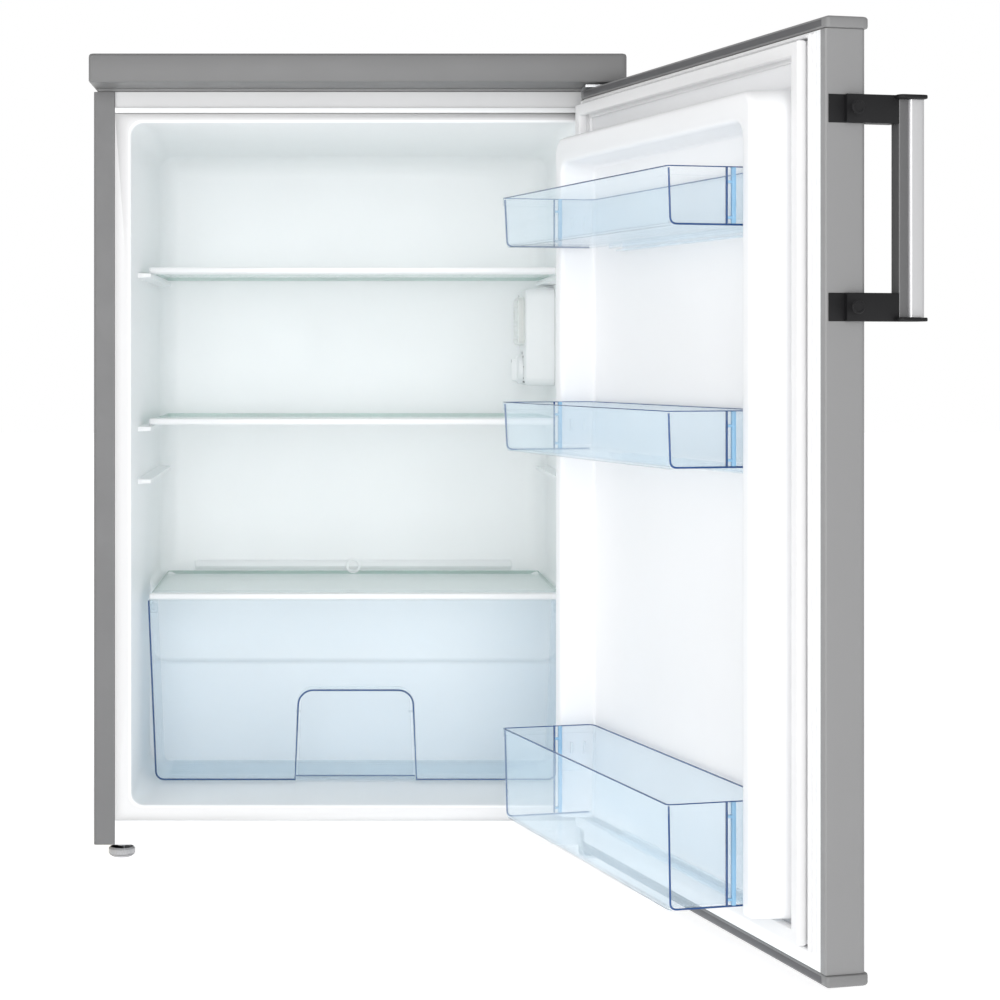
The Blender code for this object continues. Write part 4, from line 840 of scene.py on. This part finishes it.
def drip_tray():
    low, high = extent("drip_pan")
    z0, z1 = low.z, high.z
    profile = [
        (-0.004, z0), (-0.0026, z0 + 0.0012), (-0.0012, z1 - 0.003), (0.0, z1 - 0.0024), (0.0, z1),
        (-0.0018, z1), (-0.0030, z1 - 0.003), (-0.0044, z0 + 0.0030), (-0.0060, z0 + 0.0018)
    ]
    tray = swept(footprint(low, high, 0.012), profile)
    piece("drip_tray", [tray], "cabinet", ["black_plastic"], ["drip_pan"])


def filter_drier():
    """A copper can with drawn ends and a faint band round its middle."""
    low, high = extent("filter_drier")
    h, neck, can = (high.x - low.x) / 2, 0.0030, 0.0090
    profile = [
        (0.0, -h), (neck, -h), (neck, -h + 0.009), (0.0045, -h + 0.012), (can, -h + 0.019),
        (can, -0.019), (0.0086, -0.0185), (0.0086, 0.0185), (can, 0.019), (can, h - 0.019),
        (0.0045, h - 0.012), (neck, h - 0.009), (neck, h), (0.0, h)
    ]
    shell = moved(lathe(profile, 36), turned_to((1, 0, 0), (low + high) / 2))
    piece("filter_drier_shell", [shell], "cabinet", ["copper"], ["filter_drier"])


def condenser_wires():
    low, high = extent("condenser_rail_left")
    back = extent("condenser_tube")[1].y + 0.0006
    foot, top = low.z + 0.034, high.z - 0.016
    wires, reach = 25, 0.192
    levels = [-reach + 2 * reach * i / (wires - 1) for i in range(wires)]
    shells = [tube([(x, back, foot), (x, back, top)], 0.0008, 6) for x in levels]
    piece("condenser_wires", shells, "cabinet", ["black_paint"])


def rear_screws():
    """The screws of the back panel, the condenser's rails and the base plate."""
    rail_low, rail_high = extent("condenser_rail_left")
    panel_low, panel_high = extent("back_panel")
    base_low, base_high = extent("base_plate")
    rows, margin = 5, 0.014
    shells = []
    for side in (-1, 1):
        for i in range(rows):
            z = panel_low.z + margin + (panel_high.z - panel_low.z - 2 * margin) * i / (rows - 1)
            shells += screw(Vector((side * (panel_high.x - 0.010), panel_high.y, z)), (0, 1, 0))
        for z in (rail_low.z + 0.010, rail_high.z - 0.010):
            shells += screw(Vector((side * 0.130, rail_high.y, z)), (0, 1, 0), 0.0042)
    for x in (-0.215, -0.060, 0.020, 0.215):
        shells += screw(Vector((x, base_high.y, base_low.z + 0.018)), (0, 1, 0))
    piece("rear_screws", shells, "cabinet", ["zinc", "dark_shade_and_print"])


# Door

def door_skin():
    low, high = extent("door_skin", DOOR)
    radius, hem, thickness = 0.0055, 0.009, 0.0008
    path = [(low.x + hem, high.y), (low.x + 0.0012, high.y), (low.x, high.y - 0.0012)]
    path += arc((low.x + radius, low.y + radius), radius, 180, 270, 10)
    path += arc((high.x - radius, low.y + radius), radius, 270, 360, 10)
    path += [(high.x, high.y - 0.0012), (high.x - 0.0012, high.y), (high.x - hem, high.y)]
    shells = [prism(sheet(path, thickness), low.z, high.z)]
    piece("door_skin_sheet", shells, "door", ["door_silver"], ["door_skin"])
    for name in ("bottom", "top"):
        low, high = extent(f"door_cap_{name}", DOOR)
        outline = footprint(low, high, (0.003, 0.003, 0.007, 0.007), 8)
        edge = 0.0026
        rims = [
            (edge * (math.sin(t) - 1), edge * (1 - math.cos(t))) for t in (0.0, 0.4, 0.8, 1.2, math.pi / 2)
        ]
        start, end = low.z, high.z
        if name == "top":
            profile = [(-0.0024, start), (-0.0006, start + 0.0006), (0.0, start + 0.0020)]
            profile += [(grow, end - level) for grow, level in rims[::-1]]
        else:
            profile = [(grow, start + level) for grow, level in rims]
            profile += [(0.0, end - 0.0020), (-0.0006, end - 0.0006), (-0.0024, end)]
        shells = [swept(outline, profile)]
        # The cap's inner face is covered with a dark strip, which is painted shade on that face.
        inner = bar(
            (low.x + 0.010, high.y - 0.001, low.z + 0.0022),
            (high.x - 0.010, high.y + 0.0004, high.z - 0.0022), 0.0004, 2
        )
        shells.append(marked(inner, 1))
        piece(
            f"door_cap_{name}_moulding", shells, "door", ["cap_grey", "dark_shade_and_print"],
            [f"door_cap_{name}"]
        )


def door_liner():
    """The inner door: a flange, a raised panel and two deep ribs joined at the top, all softly rounded."""
    low, high = extent("door_liner", DOOR)
    seat = 0.0165
    bulge_low, bulge_high = bulge()
    left, right, bottom, top = bulge_low[0], bulge_high[0], bulge_low[1], bulge_high[1]
    shells = [bar((low.x, seat - 0.0015, low.z), (high.x, seat, high.z), 0.0004, 2)]
    panel = rounded(
        (left + 0.010, bottom + 0.001), (right - 0.010, top - 0.010), (0.016, 0.016, 0.008, 0.008)
    )
    shells.append(
        swept(
            panel,
            [
                (0.003, seat - 0.001), (0.003, seat), (0.001, seat + 0.0006), (0.0, seat + 0.0024),
                (0.0, PANEL_FACE - 0.0022), (-0.0008, PANEL_FACE - 0.0006), (-0.003, PANEL_FACE)
            ],
            "XZ"
        )
    )
    inner_left, inner_right, inner_top = left + RIB_WIDTH, right - RIB_WIDTH, top - 0.030
    outline = arc((left + 0.009, bottom + 0.009), 0.009, 180, 270) + arc(
        (inner_left - 0.007, bottom + 0.007), 0.007, 270, 360
    )
    outline += arc((inner_left + 0.012, inner_top - 0.012), 0.012, 180, 90)
    outline += arc((inner_right - 0.012, inner_top - 0.012), 0.012, 90, 0)
    outline += arc(
        (inner_right + 0.007, bottom + 0.007), 0.007, 180, 270
    ) + arc((right - 0.009, bottom + 0.009), 0.009, 270, 360)
    outline += arc((right - 0.020, top - 0.020), 0.020, 0, 90, 10) + arc(
        (left + 0.020, top - 0.020), 0.020, 90, 180, 10
    )
    inside = [inner_left - 0.001 < x < inner_right + 0.001 and z > bottom + 0.003 for x, z in outline]
    steps = [
        (0.0034, 0.0), (0.0014, 0.012), (0.0004, 0.05), (0.0, 0.11), (-0.0018, 0.86), (-0.0024, 0.93),
        (-0.0036, 0.975), (-0.0052, 0.995), (-0.0068, 1.0)
    ]
    rings = []
    for grow, share in steps:
        ring = []
        for (x, z), is_inside in zip(offset(outline, grow), inside):
            base = PANEL_FACE if is_inside else seat
            ring.append(Vector((x, base + (RIB_FACE - base) * share, z)))
        rings.append(ring)
    rings.insert(0, [Vector((p.x, seat - 0.001, p.z)) for p in rings[0]])
    shells.append(loft(rings))
    piece("door_liner_ribs", shells, "door", ["door_white"], ["door_liner"], 50)


def bulge():
    """The raised part of the door's liner, as the corners of its outline."""
    half = CAVITY_HALF - 0.005
    hinge_x = (CABINET.inverted() @ HINGE).x
    return (-half - hinge_x, CAVITY_FLOOR + 0.0015), (half - hinge_x, CAVITY_TOP - 0.022)


def lugs():
    """Small wedges on the ribs' inner sides, two under each end of every bin."""
    low, high = bulge()
    shells = []
    for name in SHELVES:
        z = extent(f"door_bin_{name}", DOOR)[1].z - 0.018
        for side, x in ((1, low[0] + RIB_WIDTH), (-1, high[0] - RIB_WIDTH)):
            inner, outer = sorted((x - side * 0.001, x + side * 0.0022))
            for y in (0.036, 0.050):
                shells.append(bar((inner, y, z - 0.012), (outer, y + 0.0025, z), 0.0009))
    piece("bin_lugs", shells, "door", ["door_white"])


def gasket():
    """The magnetic seal: a flat foot, a bellows waist, the round magnet tube and a side bead."""
    low, high = extent("door_cap_bottom", DOOR)[0], extent("door_cap_top", DOOR)[1]
    face = extent("door_gasket", DOOR)
    edge_left = low.x + 0.0025
    line = [
        (edge_left + 0.028, low.z + 0.036), (high.x - 0.028, low.z + 0.036),
        (high.x - 0.028, high.z - 0.024), (edge_left + 0.028, high.z - 0.024)
    ]
    seat, lip = 0.0167, face[1].y
    foot = [
        (-0.008, seat), (0.012, seat), (0.012, seat + 0.0018), (0.0105, seat + 0.0026),
        (-0.0072, seat + 0.0026), (-0.008, seat + 0.0018)
    ]
    bulb = [
        (-0.0030, seat + 0.0024), (0.0030, seat + 0.0024), (0.0026, seat + 0.0044), (0.0052, seat + 0.0060),
        (0.0060, seat + 0.0084), (0.0060, lip - 0.0018)
    ]
    bulb += [
        (0.0052, lip - 0.0004), (0.0036, lip), (-0.0036, lip), (-0.0052, lip - 0.0004),
        (-0.0060, lip - 0.0018), (-0.0060, seat + 0.0084), (-0.0052, seat + 0.0060),
        (-0.0026, seat + 0.0044)
    ]
    bead = [
        (0.0082, seat + 0.0024), (0.0108, seat + 0.0024), (0.0112, seat + 0.0048), (0.0106, seat + 0.0062),
        (0.0094, seat + 0.0066), (0.0082, seat + 0.0056)
    ]
    groove = [
        (0.0064, seat + 0.0024), (0.0080, seat + 0.0024), (0.0080, seat + 0.0031), (0.0064, seat + 0.0031)
    ]
    shells = [swept(line, profile, "XZ", wrap=True) for profile in (foot, bulb, bead)]
    shells.append(marked(swept(line, groove, "XZ", wrap=True), 1))
    piece("door_seal", shells, "door", ["gasket", "gasket_shadow"], ["door_gasket"], 30)


def door_bin(name):
    """A clear bin: drafted walls, rolled rim, dark moulded edges at both ends, clips and a rail under it."""
    low, high = extent(f"door_bin_{name}", DOOR)
    z0, z1 = low.z, high.z
    outline = footprint(low, high, (0.004, 0.004, 0.009, 0.009), 8)
    profile = [
        (-0.0075, z0), (-0.0052, z0 + 0.0006), (-0.0034, z0 + 0.0030), (-0.0012, z1 - 0.0090),
        (-0.0012, z1 - 0.0085)
    ]
    profile += [(0.0, z1 - 0.0078), (0.0, z1 - 0.0008), (-0.0006, z1), (-0.0018, z1), (-0.0024, z1 - 0.0008)]
    profile += [(-0.0032, z1 - 0.0090), (-0.0054, z0 + 0.0045), (-0.0078, z0 + 0.0022)]
    marks = [0, 0, 0, 0, 0, 0, 1, 1, 1, 0, 0, 0]
    shells = [swept(outline, profile, marks=marks)]
    edge = 0.0009
    for side, x in ((1, low.x), (-1, high.x)):
        at = x + side * 0.0022
        path = [
            (at, high.y - 0.0026, z1 - 0.002), (at + side * 0.001, high.y - 0.0046, z0 + 0.0012),
            (at + side * 0.001, low.y + 0.006, z0 + 0.0012)
        ]
        shells.append(tube(bent(path, 0.006), edge, 8, mark=1))
        inner, outer = sorted((x + side * 0.0004, x + side * 0.0040))
        for y, width, mark in ((0.0640, 0.0036, 2), (0.0714, 0.0010, 1)):
            strip = bar((inner, y, z0 + 0.002), (outer, y + width, z1 - 0.0002), 0.0004, 2)
            shells.append(marked(strip, mark))
        for z in (z1 - 0.013, z0 + 0.007):
            link = bar((inner, 0.0670, z - 0.0012), (outer, 0.0716, z + 0.0012), 0.0005, 2)
            shells.append(marked(link, 2))
        inner, outer = sorted((x + side * 0.0030, x + side * 0.0046))
        depth = min(0.046, z1 - z0 - 0.006)
        shells.append(bar((inner, low.y + 0.001, z1 - depth), (outer, low.y + 0.040, z1 - 0.0006), 0.0006, 2))
    rail_left, rail_right = low.x + 0.020, high.x - 0.090
    for y, drop in ((low.y + 0.004, 0.0065), (low.y + 0.018, 0.0040)):
        shells.append(bar((rail_left, y, z0 - drop), (rail_right, y + 0.0016, z0 + 0.001), 0.0005, 2))
    shells.append(
        bar((rail_left, low.y + 0.004, z0 - 0.0065), (rail_right, low.y + 0.012, z0 - 0.0050), 0.0005, 2)
    )
    piece(
        f"door_bin_{name}_clear", shells, f"bin_{name}", ["clear_blue", "blue_edge", "blue_strip"],
        [f"door_bin_{name}"]
    )


def handle():
    """Two black brackets with round screw caps, and the brushed bar between them with its end caps."""
    bar_low, bar_high = extent("handle_bar", DOOR)
    for side in ("upper", "lower"):
        low, high = extent(f"handle_bracket_{side}", DOOR)
        cap_low, cap_high = extent(f"screw_cap_{side}", DOOR)
        z0, z1 = low.z, high.z
        arm_high = z0 + 0.0234 if side == "lower" else z1
        arm_low = z0 if side == "lower" else z1 - 0.0234
        free = high.x
        inner = high.y
        plan = [
            (free, inner), (free - 0.0097, inner), (free - 0.0097, inner - 0.0140),
            (free - 0.0147, inner - 0.0140)
        ]
        plan += [
            (free - 0.0147, -0.060), (free - 0.0090, -0.060), (free - 0.0090, bar_high.y + 0.0003),
            (free, bar_high.y + 0.0003)
        ]
        shells = [prism(plan, arm_low, arm_high, edge=0.0006)]
        lid = rounded((low.x + 0.0002, bar_low.y), (bar_high.x, bar_high.y + 0.004), 0.005, 8)
        lid_start = z0 if side == "lower" else z1 - 0.0032
        shells.append(prism(lid, lid_start, lid_start + 0.0032, edge=0.0009))
        at = Vector((cap_high.x, (cap_low.y + cap_high.y) / 2, (cap_low.z + cap_high.z) / 2))
        radius, depth = (cap_high.y - cap_low.y) / 2, cap_high.x - cap_low.x
        button = [
            (0.0, 0.0), (radius, 0.0), (radius, depth * 0.5), (radius - 0.0006, depth * 0.95),
            (radius - 0.0016, depth * 0.95), (radius - 0.0020, depth * 0.62), (0.0, depth * 0.55)
        ]
        shells.append(moved(lathe(button, 48), turned_to((-1, 0, 0), at)))
        replaced = [f"handle_bracket_{side}", f"screw_cap_{side}"]
        piece(f"handle_arm_{side}", shells, "door", ["black_plastic"], replaced)
    x0, x1, y0, y1 = bar_low.x, bar_high.x, bar_low.y, bar_high.y
    section = rounded((x0, y0), (x1, y1 - 0.0085), (0.002, 0.002, 0.0052, 0.002), 8)
    shells = [prism(section, bar_low.z, bar_high.z)]
    # The bar's inner strip is in the darker aluminium copy, which is painted shade on its inner side.
    neck = rounded((x0 + 0.0030, y1 - 0.0105), (x1, y1), (0.003, 0.001, 0.001, 0.004), 8)
    shells.append(marked(prism(neck, bar_low.z, bar_high.z), 1))
    piece("handle_bar_brushed", shells, "door", ["aluminium", "aluminium_shaded"], ["handle_bar"])


# Stage

def camera():
    """Level, at the height and distance that the fridge is seen from."""
    data = bpy.data.cameras.new("camera")
    data.lens = 83.36
    data.sensor_width = 36.0
    data.shift_x, data.shift_y = 0.169, -0.142
    made = bpy.data.objects.new("camera", data)
    made.location = CABINET @ Vector((-0.0275, -2.440, 0.531))
    made.rotation_euler = (math.pi / 2, 0.0, 0.0)
    bpy.context.scene.collection.objects.link(made)
    bpy.context.scene.camera = made


def light(name, location, target, size, power):
    data = bpy.data.lights.new(name, "AREA")
    data.size = size
    data.energy = power
    made = bpy.data.objects.new(name, data)
    made.location = location
    made.rotation_euler = (Vector(target) - Vector(location)).to_track_quat("-Z", "Y").to_euler()
    bpy.context.scene.collection.objects.link(made)


SKY = 0.52


def stage():
    mesh = bpy.data.meshes.new("floor")
    reach = 14.0
    mesh.from_pydata(
        [(-reach, -reach, 0), (reach, -reach, 0), (reach, reach, 0), (-reach, reach, 0)], [], [(0, 1, 2, 3)]
    )
    pale = surface(
        "floor", (0.90, 0.90, 0.90), 0.7, 60, 0.03, 0.01, Emission_Color=(1, 1, 1, 1),
        Emission_Strength=0.62
    )
    mesh.materials.append(pale)
    floor = bpy.data.objects.new("floor", mesh)
    bpy.context.scene.collection.objects.link(floor)
    world = bpy.data.worlds.new("studio")
    world.use_nodes = True
    tree = world.node_tree
    seen = tree.nodes.new("ShaderNodeLightPath").outputs["Is Camera Ray"]
    sky = tree.nodes["Background"].inputs
    sky["Color"].default_value = (1.0, 1.0, 1.0, 1.0)
    tree.links.new(between(tree, seen, SKY, 1.0, 0.0, 1.0), sky["Strength"])
    bpy.context.scene.world = world
    light("front", (0.1, -4.2, 0.7), (0.0, 0.0, 0.40), 2.6, 74.0)
    light("left", (-2.8, -2.4, 1.2), (0.1, 0.0, 0.40), 1.8, 22.0)
    scene = bpy.context.scene
    scene.view_settings.view_transform = "Standard"
    scene.cycles.transparent_max_bounces = 32
    scene.cycles.max_bounces = 16
    scene.cycles.diffuse_bounces = 10


camera()
stage()
worktop()
inner_liner()
liner_details()
trims()
for shelf_name in SHELVES:
    shelf(shelf_name)
crisper()
thermostat()
feet()
compressor()
rubber_mounts()
start_box()
drip_tray()
filter_drier()
condenser_wires()
rear_screws()
door_skin()
door_liner()
lugs()
gasket()
for bin_name in SHELVES:
    door_bin(bin_name)
handle()
# The side panels take the darker copy of the door's silver paint, which is painted shade.
dress("silver_paint_shaded", "side_panel_left", "side_panel_right", soften=0.0002)
dress("white", "lower_trim", "hinge_bush_top", "hinge_bush_bottom", "drain_spout")
dress("foam", "insulation", "door_insulation", soften=0)
dress(
    "zinc", "back_panel", "bay_sheet", "base_plate", "upper_hinge_bracket", "lower_hinge_bracket",
    soften=0.0002
)
dress("aluminium", "evaporator_plate")
dress("foot", "rear_skid_left", "rear_skid_right")
dress("black_plastic", "cable_inlet")
dress("black_paint", "condenser_rail_left", "condenser_rail_right")
dress("black_paint", "condenser_tube", soften=0)
dress("copper", "suction_tube", soften=0)
